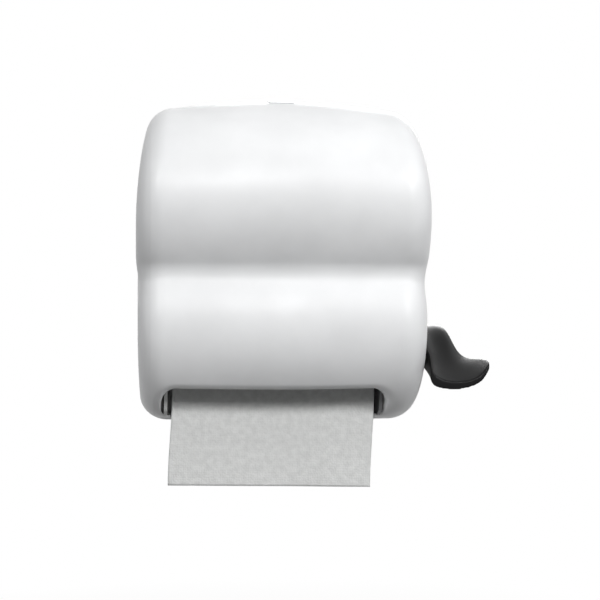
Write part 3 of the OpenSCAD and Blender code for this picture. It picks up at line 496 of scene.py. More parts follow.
class Palette:
    """The finishes of the dispenser, by the record's material slots."""

    def __init__(self) -> None:
        """List each real material and build it."""
        low, high = box_mm("towel_roll")
        middle = (low + high) / 2
        finishes = {
            # ABS, moulded in a spark-eroded tool: white, satin, with a barely visible grain
            "cover_white": Finish("satin_white_abs", "#EDEEEF", "#E6E7E8", 0.38, 0.04,
                                  patch_mm=60, grain_mm=0.7, depth_mm=0.012),
            # high-impact polystyrene, moulded: flatter and a little warmer than the cover
            "cabinet_white": Finish("matt_white_polystyrene", "#E3E4E2", "#D9DAD8", 0.52, 0.05,
                                    patch_mm=45, grain_mm=0.8, depth_mm=0.02),
            # ABS with grey pigment, coarse spark-eroded grain
            "frame_grey": Finish("grained_grey_abs", "#6F7072", "#646567", 0.55, 0.06,
                                 patch_mm=30, grain_mm=0.9, depth_mm=0.03),
            # glass-filled nylon, dyed black: satin, with a soft grey sheen where it faces the light
            "lever_black": Finish("satin_black_nylon", "#060607", "#0A0A0B", 0.38, 0.05,
                                  specular=0.14, patch_mm=25, grain_mm=0.9, depth_mm=0.02),
            # zinc-plated steel bar: bright, with fine marks along its length
            "steel": Finish("zinc_plated_steel", "#B9BBBE", "#A3A5A9", 0.30, 0.08, metallic=1.0,
                            patch_mm=18, grain_mm=0.5, depth_mm=0.008, grain=Grain.DRAWN_ALONG_X),
            # spring wire, drawn and oiled: darker than plated steel
            "spring_steel": Finish("drawn_spring_wire", "#8D8F92", "#77797C", 0.33, 0.08,
                                   metallic=1.0, patch_mm=6, grain_mm=0.5, depth_mm=0.01),
            # stainless sheet, rolled: soft streaks along its length
            "stainless": Finish("rolled_stainless_sheet", "#B4B5B6", "#A5A6A8", 0.34, 0.07,
                                metallic=1.0, patch_mm=20, grain_mm=0.6, depth_mm=0.01,
                                grain=Grain.DRAWN_ALONG_X),
            # grip rubber: dull and dusty
            "rubber_grey": Finish("grey_grip_rubber", "#5A5B5C", "#66676A", 0.78, 0.08,
                                  patch_mm=9, grain_mm=0.7, depth_mm=0.04),
            # acetal, dyed dark grey: smooth and slightly waxy
            "drum_grey": Finish("dark_grey_acetal", "#4A4B4D", "#424345", 0.45, 0.05,
                                patch_mm=25, grain_mm=0.8, depth_mm=0.015),
            # unfilled nylon: ivory and waxy
            "gear_nylon": Finish("natural_nylon", "#DDD8C6", "#D2CCB8", 0.42, 0.06, coat=0.1,
                                 patch_mm=12, grain_mm=0.6, depth_mm=0.012),
            # one-ply crepe towel of recycled fibre: dull off-white with greyer clouds
            "towel_paper": EmbossedPaper("embossed_towel_paper", "#E3E4E3", "#D8D9D8", 0.92,
                                         patch_mm=7, grain_mm=0.9, depth_mm=0.25),
            # spiral-wound grey board of the core
            "cardboard": Finish("wound_core_board", "#A98F6C", "#9A805D", 0.88, 0.05,
                                patch_mm=14, grain_mm=0.9, depth_mm=0.06),
            # zinc die casting with nickel plating
            "lock_zinc": Finish("nickel_plated_zinc", "#C4C5C7", "#B6B7BA", 0.22, 0.06,
                                metallic=1.0, patch_mm=8, grain_mm=0.5, depth_mm=0.006),
            # acrylic-coated polyester label stock, blank: light grey and smoother than the cover
            "plate_grey": Finish("light_grey_inlay", "#D9DBDC", "#D3D5D6", 0.30, 0.03,
                                 patch_mm=12, grain_mm=0.6, depth_mm=0.006),
        }
        # the same towel where it is wound: the edges of the turns show as rings
        self.wound = WoundPaper("wound_towel_paper", "#E4E4E2", "#D3D3D0", 0.93, patch_mm=6,
                                depth_mm=0.3, axis_y_mm=middle[1], axis_z_mm=middle[2]).build()
        self.by_slot = {slot: finish.build() for slot, finish in finishes.items()}

    def __getitem__(self, slot: str) -> bpy.types.Material:
        """Return the material of a record slot."""
        return self.by_slot[slot]


# ---- pieces ----


@dataclass
class Piece:
    """A finished object and where it belongs."""

    obj: bpy.types.Object
    body: str
    slot: str
    replaces: tuple[str, ...] = ()

    def settle(self) -> None:
        if self.body:
            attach(self.obj, self.body)
        if self.replaces:
            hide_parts(*self.replaces)
        log.info("%s on %s: %d faces", self.obj.name, self.body or "two bodies",
                 len(self.obj.data.polygons))


class Assembly(ABC):
    """A sub-assembly that builds its own pieces."""

    @abstractmethod
    def build(self, palette: Palette) -> list[Piece]:
        """Build and dress the pieces.

        Args:
            palette: The materials by slot.

        Returns:
            The finished pieces.
        """


class NodeShape:
    """A Geometry Nodes tree that puts one shape at each point of a mesh."""

    def __init__(self, name: str, sizes: Mapping[str, float | int]) -> None:
        """Make the tree with its named inputs.

        Args:
            name: The tree's name.
            sizes: The named inputs and their values.
        """
        self.tree = bpy.data.node_groups.new(name, "GeometryNodeTree")
        self.values = dict(sizes)
        rows = [("Points", "NodeSocketGeometry"), ("Finish", "NodeSocketMaterial")]
        rows += [(n, "NodeSocketInt" if isinstance(v, int) else "NodeSocketFloat")
                 for n, v in sizes.items()]
        self.ids = {
            n: self.tree.interface.new_socket(n, in_out="INPUT", socket_type=kind).identifier
            for n, kind in rows}
        self.tree.interface.new_socket("Mesh", in_out="OUTPUT", socket_type="NodeSocketGeometry")
        self.entry = add_node(self.tree, "NodeGroupInput")

    def add(self, kind: str, settings: Mapping[str | int, Any] | None = None,
            links: Mapping[str | int, bpy.types.NodeSocket] | None = None) -> bpy.types.Node:
        """Add one node to this tree, as add_node does."""
        return add_node(self.tree, kind, settings, links)

    def size(self, name: str) -> bpy.types.NodeSocket:
        """Return the socket of a named input."""
        return self.entry.outputs[name]

    def scaled(self, name: str, factor: float) -> bpy.types.NodeSocket:
        """Return a named input times a factor."""
        return self.add("ShaderNodeMath", {"operation": "MULTIPLY", 1: factor},
                        {0: self.size(name)}).outputs[0]

    def vector(self, **parts: bpy.types.NodeSocket) -> bpy.types.NodeSocket:
        """Return a vector with the given parts, and zero for the others."""
        return self.add("ShaderNodeCombineXYZ", None, parts).outputs[0]

    def at_points(self, shape: bpy.types.NodeSocket) -> bpy.types.NodeSocket:
        """Put the shape at each point, with its Z along the point's axis attribute."""
        axis = self.add("GeometryNodeInputNamedAttribute",
                        {"data_type": "FLOAT_VECTOR", "Name": "axis"})
        turn = self.add("FunctionNodeAlignRotationToVector", {"axis": "Z"},
                        {"Vector": axis.outputs["Attribute"]})
        placed = self.add("GeometryNodeInstanceOnPoints", None,
                          {"Points": self.size("Points"), "Instance": shape,
                           "Rotation": turn.outputs["Rotation"]})
        return placed.outputs["Instances"]

    def close(self, shape: bpy.types.NodeSocket) -> None:
        """End the tree in Realize Instances and Set Material."""
        real = self.add("GeometryNodeRealizeInstances", None, {"Geometry": shape})
        dressed = self.add("GeometryNodeSetMaterial", None,
                           {"Geometry": real.outputs["Geometry"], "Material": self.size("Finish")})
        self.add("NodeGroupOutput", None, {"Mesh": dressed.outputs["Geometry"]})

    def bake(self, name: str, points: Sequence[Sequence[float]], axes: Sequence[Sequence[float]],
             material: bpy.types.Material, crease_deg: float = 35.0) -> bpy.types.Object:
        """Run the tree on some points and keep the result as a plain mesh.

        Args:
            name: The object's name.
            points: Where the shapes go, in millimetres.
            axes: The direction of each shape's Z.
            material: The finish of all shapes.
            crease_deg: The angle past which an edge stays sharp.

        Returns:
            The finished object.
        """
        obj = mesh_object(name, points, [])
        rows = obj.data.attributes.new("axis", "FLOAT_VECTOR", "POINT")
        rows.data.foreach_set("vector", np.array(axes, np.float32).ravel())
        shape = obj.modifiers.new("Shape", "NODES")
        shape.node_group = self.tree
        shape[self.ids["Finish"]] = material
        for size, value in self.values.items():
            shape[self.ids[size]] = value
        apply_modifiers(obj)
        shade(obj, crease_deg)
        return obj


# ---- the cover ----


@dataclass
class CoverShell(Assembly):
    """The one-piece cover: two bulges, the crease between them and the rolled-in exit slot."""

    wall: float = 2.6
    rim_y: float = -20.0
    pole_in: float = 1.5
    upper_y: float = -116.0
    upper_r: float = 105.0
    lower_y: float = -102.0
    lower_r: float = 100.0
    crease_r: float = 22.0
    top_back_r: float = 1200.0
    corner_r: float = 29.0
    front_crown: float = 4.0
    top_arch: float = 11.0
    slot_x: tuple[float, float] = (-123.8, 107.0)
    slot_h: float = 34.2
    slot_corner: float = 15.0
    slot_back: float = 112.0
    slot_back_corner: float = 5.0
    roll_left: float = 8.0
    roll_right: float = 12.0
    roll_top: float = 6.0
    roll_back: float = 5.0
    lip_depth: float = 12.0
    block: float = 10.5
    block_right: float = 15.0
    flat_x: float = 135.5
    # how far the sides come in, and where: at the top, below the middle, at the crease, at the foot
    top_taper: float = 12.0
    top_taper_z: float = 40.0
    waist_in: float = 2.0
    waist_z: float = 10.0
    waist_run: float = 40.0
    crease_in: float = 1.3
    crease_z: float = -30.0
    crease_run: float = 18.0
    foot_taper: float = 2.5
    foot_taper_z: float = -80.0
    lock_y: float = -75.0
    lock_r: float = 8.3
    housing_r: float = 13.2
    # the turn of the cover about its hinge that the lever's housing leaves free
    notch_deg: float = 34.0
    half_w: float = field(init=False)
    top: float = field(init=False)
    bottom: float = field(init=False)

    def __post_init__(self) -> None:
        """Take the outer sizes from the CAD cover and find the crease."""
        low, high = box_mm("cover")
        self.half_w, self.top, self.bottom = high[0], high[2], low[2]
        self.upper_z, self.lower_z = self.top - self.upper_r, self.bottom + self.lower_r
        c1, c2 = np.array([self.upper_y, self.upper_z]), np.array([self.lower_y, self.lower_z])
        r1, r2 = self.upper_r + self.crease_r, self.lower_r + self.crease_r
        gap = np.linalg.norm(c2 - c1)
        e = (c2 - c1) / gap
        a = (gap * gap + r1 * r1 - r2 * r2) / (2 * gap)
        self.crease = c1 + a * e + math.sqrt(r1 * r1 - a * a) * np.array([e[1], -e[0]])
        self.upper_end = math.degrees(math.atan2(*(self.crease - c1)[::-1])) % 360
        self.lower_start = math.degrees(math.atan2(*(self.crease - c2)[::-1])) % 360

    def half_width(self, z: np.ndarray) -> np.ndarray:
        """Return half the cover's width at a height of its front."""
        above = (z - self.top_taper_z) / (self.top - self.top_taper_z)
        below = (self.foot_taper_z - z) / (self.foot_taper_z - self.bottom)
        return (self.half_w
                - self.top_taper * np.maximum(0, above) ** 2
                - self.waist_in * smoothstep((self.waist_z - z) / self.waist_run)
                - self.crease_in * np.exp(-((z - self.crease_z) / self.crease_run) ** 2)
                - self.foot_taper * np.maximum(0, below) ** 2)

    def profile(self, row: tuple[str, float], t: float) -> tuple[float, float]:
        """Return a point of the side profile.

        Args:
            row: The profile's part and the place on it: an angle in degrees, or y on the bottom.
            t: The depth inside the outer surface.

        Returns:
            The point's y and z.
        """
        part, a = row
        if part == "bottom":
            return a, self.bottom + t
        centre, r = {
            "back": ((self.upper_y, self.top - self.top_back_r), self.top_back_r - t),
            "upper": ((self.upper_y, self.upper_z), self.upper_r - t),
            "crease": (self.crease, self.crease_r + t),
            "lower": ((self.lower_y, self.lower_z), self.lower_r - t)}[part]
        if part == "back":
            a0 = math.degrees(math.acos((self.rim_y - self.upper_y) / r))
            a = a0 + (90 - a0) * a
        c, s = math.cos(math.radians(a)), math.sin(math.radians(a))
        return centre[0] + r * c, centre[1] + r * s

    def height(self, rows: Sequence[tuple[str, float]], x: np.ndarray, t: float) -> np.ndarray:
        """Return points of the front surface.

        Args:
            rows: The profile place of each point.
            x: The place of each point across the cover.
            t: The depth inside the outer surface.

        Returns:
            One (x, y, z) for each point.
        """
        p = np.array([self.profile(r, t) for r in rows])
        rho, e, hw, crown = self.ray(p, t)
        rc = self.corner_r - t
        xc = hw - rc
        over = np.maximum(np.abs(x) - xc, 0)
        inside = np.minimum(np.abs(x) / xc, 1)
        reach = rho - crown * inside ** 2 - rc + np.sqrt(np.maximum(rc * rc - over * over, 0))
        return np.stack([x, self.rim_y + reach * e[:, 0], reach * e[:, 1]], -1)

    def on_lower(self, places: Sequence[tuple[float, float]], t: float) -> np.ndarray:
        """Return the points of the lower bulge at some (x, angle) places, t inside its surface."""
        return self.height([("lower", a) for _, a in places], np.array([x for x, _ in places]), t)

    def ray(
        self, p: np.ndarray, t: float
    ) -> tuple[np.ndarray, np.ndarray, np.ndarray, np.ndarray]:
        """Return the distance, direction, half width and crown at each profile point."""
        v = p - [self.rim_y, 0]
        rho = np.linalg.norm(v, axis=1)
        e = v / rho[:, None]
        up, down = np.maximum(0, e[:, 1]), np.maximum(0, -e[:, 1])
        crown = self.front_crown * (1 - up * up - down * down) + self.top_arch * up * up
        return rho, e, self.half_width(p[:, 1]) - t, crown

    def side(self, row: tuple[str, float], t: float, sign: int) -> list[np.ndarray]:
        """Return the points of one row beyond the front's flat columns, out to the rim.

        Args:
            row: The row's place on the profile.
            t: The depth inside the outer surface.
            sign: -1 for the left side and 1 for the lever's side.

        Returns:
            The points from the front towards the rim, without the last one.
        """
        p = np.array([self.profile(row, t)])
        (rho,), (e,), (hw,), (crown,) = self.ray(p, t)
        rc = self.corner_r - t
        xc, base = hw - rc, rho - crown - rc
        start = math.acos(min(1.0, (self.flat_x - xc) / rc))
        pole = self.half_w - self.pole_in - t
        points = [(xc + rc * math.cos(a), base + rc * math.sin(a))
                  for a in np.linspace(start, 0, 7)[1:]]
        points += [(pole + (hw - pole) * f * f, base * f) for f in np.linspace(1, 0, 25)[1:-1]]
        return [np.array([sign * x, self.rim_y + r * e[0], r * e[1]]) for x, r in points]

    def angle_at(self, z: float) -> float:
        """Return the lower bulge's angle at a height of its front."""
        return 180 + math.degrees(math.asin((self.lower_z - z) / self.lower_r))

    def rows(self) -> tuple[list[tuple[str, float]], dict[str, int]]:
        """Return the mesh's rows, from top rim to bottom rim, and the slot's row numbers."""
        deg = math.degrees(1 / self.lower_r)
        top = self.angle_at(self.bottom + self.slot_h)
        corner = self.angle_at(self.bottom + self.slot_h - self.slot_corner)
        back = 180 + math.degrees(math.acos((self.slot_back + self.lower_y) / self.lower_r))
        back_corner = back - self.slot_back_corner * deg
        a0, a1 = top - self.block * deg, back + self.block * deg * 0.5
        self.slot_a = {"top": top, "corner": corner, "back_corner": back_corner, "back": back}
        rows: list[tuple[str, float]] = [("back", f) for f in np.linspace(0, 1, 22)[:-1]]
        rows += [("upper", a) for a in np.linspace(90, self.upper_end, 62)[:-1]]
        rows += [("crease", a - 180)
                 for a in np.linspace(self.upper_end, self.lower_start, 14)[:-1]]
        marks = {}
        stops = [("start", self.lower_start, a0, 28), ("block_top", a0, corner, 12),
                 ("corner", corner, back_corner, 10), ("back_corner", back_corner, a1, 5),
                 ("block_end", a1, 270.0, 2)]
        for name, low, high, count in stops:
            marks[name] = len(rows)
            rows += [("lower", a) for a in np.linspace(low, high, count)[:-1]]
        rows += [("bottom", y) for y in np.linspace(self.lower_y, self.rim_y, 18)]
        return rows, marks

    def columns(self) -> tuple[list[float], dict[str, int]]:
        """Return the mesh's columns across the front, and the slot's column numbers."""
        x0, x1 = self.slot_x
        stops = [("left", -self.flat_x, x0 - self.block, 2), ("block_left", x0 - self.block,
                 x0 + self.slot_corner, 8), ("inner_left", x0 + self.slot_corner,
                 x1 - self.slot_corner, 46), ("inner_right", x1 - self.slot_corner,
                 x1 + self.block_right, 9), ("block_right", x1 + self.block_right, self.flat_x, 5)]
        marks, xs = {}, []
        for name, low, high, count in stops:
            marks[name] = len(xs)
            xs += list(np.linspace(low, high, count)[:-1])
        return xs + [self.flat_x], marks

    def slot_loop(
        self,
        grow: Sequence[float],
        marks_r: Mapping[str, int],
        marks_c: Mapping[str, int],
        rows: Sequence[tuple[str, float]],
        xs: Sequence[float],
    ) -> list[tuple[float, float]]:
        """Return a rounded outline round the exit slot, matched to the block of grid round it.

        Args:
            grow: How far the outline lies outside the slot, on the left, right, top and back.
            marks_r: Row numbers of the slot's parts.
            marks_c: Column numbers of the slot's parts.
            rows: The mesh's rows.
            xs: The mesh's columns.

        Returns:
            (x, angle) of each point, anticlockwise seen from the front from the top left.
        """
        x0, x1 = self.slot_x
        a, rc, rb = self.slot_a, self.slot_corner, self.slot_back_corner
        deg = math.degrees(1 / self.lower_r)
        r0, r1, r2, r3 = (marks_r[k] for k in ("block_top", "corner", "back_corner", "block_end"))
        c0, c1, c2, c3 = (marks_c[k] for k in
                          ("block_left", "inner_left", "inner_right", "block_right"))
        left, right, up, behind = grow

        def corner(cx: float, ca: float, rx: float, ra: float, start: float, count: int
                   ) -> list[tuple[float, float]]:
            """Return the inner points of a quarter round, from one side to the next."""
            turn = [math.radians(start + 90 * k / count) for k in range(1, count)]
            return [(cx + rx * math.cos(u), ca - ra * math.sin(u)) for u in turn]

        top_ra = a["corner"] - a["top"] + up * deg
        back_ra = a["back"] - a["back_corner"] + behind * deg
        loop = [(xs[c], a["top"] - up * deg) for c in range(c2, c1 - 1, -1)]
        loop += corner(x0 + rc, a["corner"], rc + left, top_ra, 90, (c1 - c0) + (r1 - r0))
        loop += [(x0 - left, rows[r][1]) for r in range(r1, r2 + 1)]
        loop += corner(x0 + rb, a["back_corner"], rb + left, back_ra, 180, (c1 - c0) + (r3 - r2))
        loop += [(x, a["back"] + behind * deg) for x in np.linspace(x0 + rb, x1 - rb, c2 - c1 + 1)]
        loop += corner(x1 - rb, a["back_corner"], rb + right, back_ra, 270, (c3 - c2) + (r3 - r2))
        loop += [(x1 + right, rows[r][1]) for r in range(r2, r1 - 1, -1)]
        loop += corner(x1 - rc, a["corner"], rc + right, top_ra, 0, (c3 - c2) + (r1 - r0))
        return loop

    def block_loop(self, marks_r: Mapping[str, int], marks_c: Mapping[str, int]
                   ) -> list[tuple[int, int]]:
        """Return the (row, column) grid places round the block, in the order of slot_loop."""
        r0, r1, r2, r3 = (marks_r[k] for k in ("block_top", "corner", "back_corner", "block_end"))
        c0, c1, c2, c3 = (marks_c[k] for k in
                          ("block_left", "inner_left", "inner_right", "block_right"))
        path = [(r0, c) for c in range(c2, c0, -1)]
        path += [(r, c0) for r in range(r0, r3)]
        path += [(r3, c) for c in range(c0, c3)]
        path += [(r, c3) for r in range(r3, r0, -1)]
        path += [(r0, c) for c in range(c3, c2, -1)]
        return path

    def surface(self, t: float, grow: Sequence[float], first: int, layers: int = 4
                ) -> tuple[list[np.ndarray], list[tuple[int, ...]], list[int], list[int]]:
        """Mesh one side of the cover's wall.

        Args:
            t: The depth inside the outer surface.
            grow: How far outside the slot the surface stops, on the left, right, top and back.
            first: The number of the first vertex.
            layers: Rings of faces between the grid and the slot's edge.

        Returns:
            The points, the faces, the rim's vertices and the vertices round the slot.
        """
        rows, marks_r = self.rows()
        xs, marks_c = self.columns()
        wide = len(xs)
        points: list[np.ndarray] = []
        index: dict[tuple[int, int], int] = {}
        r0, r3 = marks_r["block_top"], marks_r["block_end"]
        c0, c3 = marks_c["block_left"], marks_c["block_right"]
        left = [self.side(row, t, -1) for row in rows]
        right = [self.side(row, t, 1) for row in rows]
        out = len(left[0])
        front = self.height([row for row in rows for _ in xs], np.tile(xs, len(rows)), t)
        front = front.reshape(len(rows), wide, 3)
        for i in range(len(rows)):
            for j in range(-out, wide + out):
                if r0 < i < r3 and c0 < j < c3:
                    continue
                index[i, j] = first + len(points)
                points.append(left[i][-1 - j] if j < 0 else front[i, j] if j < wide
                              else right[i][j - wide])
        poles = [first + len(points), first + len(points) + 1]
        reach = self.half_w - self.pole_in - t
        points += [np.array([-reach, self.rim_y, 0.0]), np.array([reach, self.rim_y, 0.0])]
        faces: list[tuple[int, ...]] = []
        for i in range(len(rows) - 1):
            for j in range(-out, wide + out - 1):
                if not (r0 <= i < r3 and c0 <= j < c3):
                    faces.append((index[i, j], index[i + 1, j],
                                  index[i + 1, j + 1], index[i, j + 1]))
            faces.append((index[i, -out], poles[0], index[i + 1, -out]))
            faces.append((index[i, wide + out - 1], index[i + 1, wide + out - 1], poles[1]))
        edge = [index[g] for g in self.block_loop(marks_r, marks_c)]
        grid = [(xs[c], rows[r][1]) for r, c in self.block_loop(marks_r, marks_c)]
        loop = self.slot_loop(grow, marks_r, marks_c, rows, xs)
        ring = edge
        for k in range(1, layers + 1):
            f = k / layers
            mixed = [(g[0] * (1 - f) + q[0] * f, g[1] * (1 - f) + q[1] * f)
                     for g, q in zip(grid, loop)]
            placed = self.on_lower(mixed, t)
            start = first + len(points)
            points += list(placed)
            inner = list(range(start, start + len(loop)))
            n = len(loop)
            faces += [(ring[m], ring[(m + 1) % n], inner[(m + 1) % n], inner[m]) for m in range(n)]
            ring = inner
        rim = [poles[0]] + [index[0, j] for j in range(-out, wide + out)] + [poles[1]]
        rim += [index[len(rows) - 1, j] for j in range(wide + out - 1, -out - 1, -1)]
        return points, faces, rim, ring

    def lip(self, outer: np.ndarray, inner: np.ndarray, edge: np.ndarray) -> list[np.ndarray]:
        """Return the rings of points that roll the slot's edge inwards.

        Args:
            outer: The slot's loop on the outer surface.
            inner: The slot's loop on the inner surface.
            edge: The slot's own outline on the outer surface.

        Returns:
            Rings of points from the outer loop to the inner one, without these two.
        """
        towards = edge - outer
        roll = np.linalg.norm(towards, axis=1)[:, None]
        towards /= roll
        front = smoothstep((-outer[:, 1] - self.slot_back - 4) / 25)[:, None]
        inwards = inner - outer
        inwards /= np.linalg.norm(inwards, axis=1)[:, None]
        inwards = inwards * (1 - front) + np.array([0.0, 1.0, 0.0]) * front
        inwards /= np.linalg.norm(inwards, axis=1)[:, None]
        wall = self.wall
        deep = np.maximum(wall + (self.lip_depth - wall) * front, roll + 0.8)
        rings = [outer + roll * math.sin(a) * towards + roll * (1 - math.cos(a)) * inwards
                 for a in np.radians([15, 30, 45, 60, 75, 90])]
        end = outer + roll * towards
        rings += [end + (deep - 0.6) * inwards, end - 0.3 * towards + deep * inwards,
                  end - (wall - 0.5) * towards + deep * inwards,
                  end - wall * towards + (deep - 0.5) * inwards]
        return rings

    def build(self, palette: Palette) -> list[Piece]:
        """Build the cover with its rolled slot, its lock hole and the lever's notch."""
        rolls = (self.roll_left, self.roll_right, self.roll_top, self.roll_back)
        points, faces, rim_out, loop_out = self.surface(0.0, rolls, 0)
        more, inside, rim_in, loop_in = self.surface(self.wall, (self.wall,) * 4, len(points))
        points += more
        faces += [tuple(reversed(f)) for f in inside]
        rows, marks_r = self.rows()
        xs, marks_c = self.columns()
        outline = self.slot_loop((0.0,) * 4, marks_r, marks_c, rows, xs)
        edge = self.on_lower(outline, 0.0)
        at = np.array(points)
        chain = [loop_out]
        for ring in self.lip(at[loop_out], at[loop_in], edge):
            chain.append(list(range(len(points), len(points) + len(ring))))
            points += list(ring)
        chain.append(loop_in)
        n = len(loop_out)
        for a, b in zip(chain, chain[1:]):
            faces += [(a[m], a[(m + 1) % n], b[(m + 1) % n], b[m]) for m in range(n)]
        n = len(rim_out)
        faces += [(rim_out[(m + 1) % n], rim_out[m], rim_in[m], rim_in[(m + 1) % n])
                  for m in range(n)]
        obj = mesh_object("cover_shell", points, faces)
        faces_outwards(obj)
        self.cut_holes(obj)
        shade(obj, 38)
        paint(obj, palette["cover_white"])
        return [Piece(obj, "cover", "cover_white", ("cover",))]

    def cut_holes(self, obj: bpy.types.Object) -> None:
        """Cut the lock's hole and the path of the lever's housing.

        Args:
            obj: The closed cover.
        """
        hinge, pivot = joint_place("cover_open")[1:], joint_place("lever_swing")[1:]
        reach = float(np.linalg.norm(pivot - hinge))
        start = math.degrees(math.atan2(*(pivot - hinge)[::-1]))
        room = self.housing_r
        turns = np.linspace(start, start - self.notch_deg, 12)

        def on(r: float, a: float) -> tuple[float, float]:
            """Return a point round the cover's hinge."""
            turn = math.radians(a)
            return hinge[0] + r * math.cos(turn), hinge[1] + r * math.sin(turn)

        cap = [(pivot[0] + room * math.cos(a), pivot[1] + room * math.sin(a))
               for a in map(math.radians, np.linspace(start + 15, start + 165, 14))]
        outline = [on(reach + room, a) for a in turns[:0:-1]] + cap
        outline += [on(reach - room, a) for a in turns[1:]]
        if self.area(outline) < 0:
            outline.reverse()
        cut_away(obj, prism("notch_cutter", outline, 0, self.half_w - 20, self.half_w + 10))
        steps = 40
        ring = [(self.lock_r * math.cos(a), self.lock_y + self.lock_r * math.sin(a))
                for a in (2 * math.pi * k / steps for k in range(steps))]
        cut_away(obj, prism("lock_cutter", ring, 2, self.top - 20, self.top + 20))

    @staticmethod
    def area(outline: Sequence[Sequence[float]]) -> float:
        """Return the signed area of an outline."""
        after = [*outline[1:], outline[0]]
        return 0.5 * sum(a[0] * b[1] - b[0] * a[1] for a, b in zip(outline, after))


# ---- the lever ----


@dataclass
class LeverPaddle(Assembly):
    """The black lever: a domed hub and a scooped paddle that flows out of it."""

    reach: float = 64.0
    front: float = 179.0
    drop: float = 42.5
    rise: float = 70.0
    edge: float = 7.0
    hub_r: float = 24.5
    hub_w: float = 22.0
    hub_edge: float = 16.0
    bore_r: float = 6.1
    bore_end: float = 6.0
    hub_side_depth: float = 17.0
    back_depth: float = 23.0
    # guide points of the upper face, as percentages outwards, towards the front and upwards
    net: tuple[tuple[tuple[int, int, int], ...], ...] = (
        ((0, 1, 97), (11, 1, 99), (21, 1, 99), (28, 1, 96), (35, 1, 89)),
        ((0, 27, 94), (12, 29, 94), (25, 29, 97), (38, 27, 100), (45, 24, 99)),
        ((0, 52, 83), (14, 52, 71), (31, 52, 71), (45, 49, 81), (53, 44, 81)),
        ((0, 72, 67), (12, 75, 46), (30, 76, 40), (45, 72, 44), (63, 61, 43)),
        ((0, 89, 57), (5, 90, 31), (30, 92, 20), (69, 86, 26), (103, 72, 47)),
        ((0, 98, 51), (0, 100, 20), (38, 100, 9), (84, 98, 17), (98, 93, 41)))

    def __post_init__(self) -> None:
        """Take the lever's place from the CAD frame."""
        self.x0 = box_mm("lever")[0][0]
        self.pivot = joint_place("lever_swing")[1:]

    @staticmethod
    def spline(guides: Sequence[np.ndarray], t: float) -> np.ndarray:
        """Return the point at t of the smooth curve that the guide points draw."""
        n = len(guides) - 1
        i = min(int(t * n), n - 1)
        f = t * n - i
        q = [2 * guides[0] - guides[1], *guides, 2 * guides[n] - guides[n - 1]]
        return ((1 - f) ** 3 * q[i] + (3 * f ** 3 - 6 * f * f + 4) * q[i + 1]
                + (1 + 3 * f + 3 * f * f - 3 * f ** 3) * q[i + 2] + f ** 3 * q[i + 3]) / 6

    def top(self, s: float, t: float) -> np.ndarray:
        """Return a point of the upper face, s outwards and t from the hub to the front."""
        rows = [self.spline([np.array(p, float) for p in row], s) for row in self.net]
        q = self.spline(rows, t) / 100
        return np.array([self.x0 + q[0] * self.reach,
                         self.pivot[0] + (-self.front - self.pivot[0]) * q[1],
                         self.pivot[1] - self.drop + q[2] * self.rise])

    def depth(self, s: float, t: float) -> float:
        """Return how thick the paddle is below a point of its upper face."""
        return self.edge + self.hub_side_depth * (1 - s) ** 4 + self.back_depth * (1 - t) ** 2

    def paddle(self, across: int = 44, along: int = 64) -> bpy.types.Object:
        """Build the closed paddle as a fine grid above and below."""
        n, low = across + 1, (across + 1) * (along + 1)
        upper = [self.top(i / across, j / along) for j in range(along + 1) for i in range(n)]
        under = [p - [0, 0, self.depth((k % n) / across, (k // n) / along)]
                 for k, p in enumerate(upper)]
        faces = []
        for j in range(along):
            for i in range(across):
                a = j * n + i
                faces += [(a, a + n, a + n + 1, a + 1),
                          (low + a, low + a + 1, low + a + n + 1, low + a + n)]
            a, b = j * n, j * n + across
            faces += [(a, low + a, low + a + n, a + n), (b, b + n, low + b + n, low + b)]
        for i in range(across):
            a = along * n + i
            faces += [(i, i + 1, low + i + 1, low + i), (a, low + a, low + a + 1, a + 1)]
        return mesh_object("lever_paddle", upper + under, faces)

    def hub(self) -> bpy.types.Object:
        """Build the domed hub."""
        r, w, e = self.hub_r, self.hub_w, self.hub_edge
        dome = [(self.x0 + w - e + e * math.sin(a), r - e + e * math.cos(a))
                for a in np.radians(np.linspace(0, 88, 12))]
        profile = [(self.x0, 0.05), (self.x0, r - 1.5), (self.x0 + 1.5, r),
                   *dome, (self.x0 + w, 0.05)]
        return lathe_x("lever_hub", self.pivot, profile, 96)

    def build(self, palette: Palette) -> list[Piece]:
        """Build the lever as one soft-edged moulding with the bore of its shaft."""
        obj, hub = self.paddle(), self.hub()
        join = obj.modifiers.new("Join", "BOOLEAN")
        join.operation, join.solver, join.object = "UNION", "EXACT", hub
        skin = obj.modifiers.new("Skin", "REMESH")
        skin.mode, skin.voxel_size = "VOXEL", 0.9 * MM
        soft = obj.modifiers.new("Soft", "SMOOTH")
        soft.factor, soft.iterations = 0.5, 10
        apply_modifiers(obj)
        bpy.data.objects.remove(hub)
        y, z = self.pivot
        bore = [(y + self.bore_r * math.cos(a), z + self.bore_r * math.sin(a))
                for a in np.radians(np.arange(0, 360, 10))]
        cut_away(obj, prism("bore_cutter", bore, 0, self.x0 - 5,
                            self.x0 + self.hub_w - self.bore_end + 0.5))
        obj.name = "lever_moulding"
        shade(obj, 50)
        paint(obj, palette["lever_black"])
        return [Piece(obj, "lever", "lever_black", ("lever",))]


# ---- the towel ----


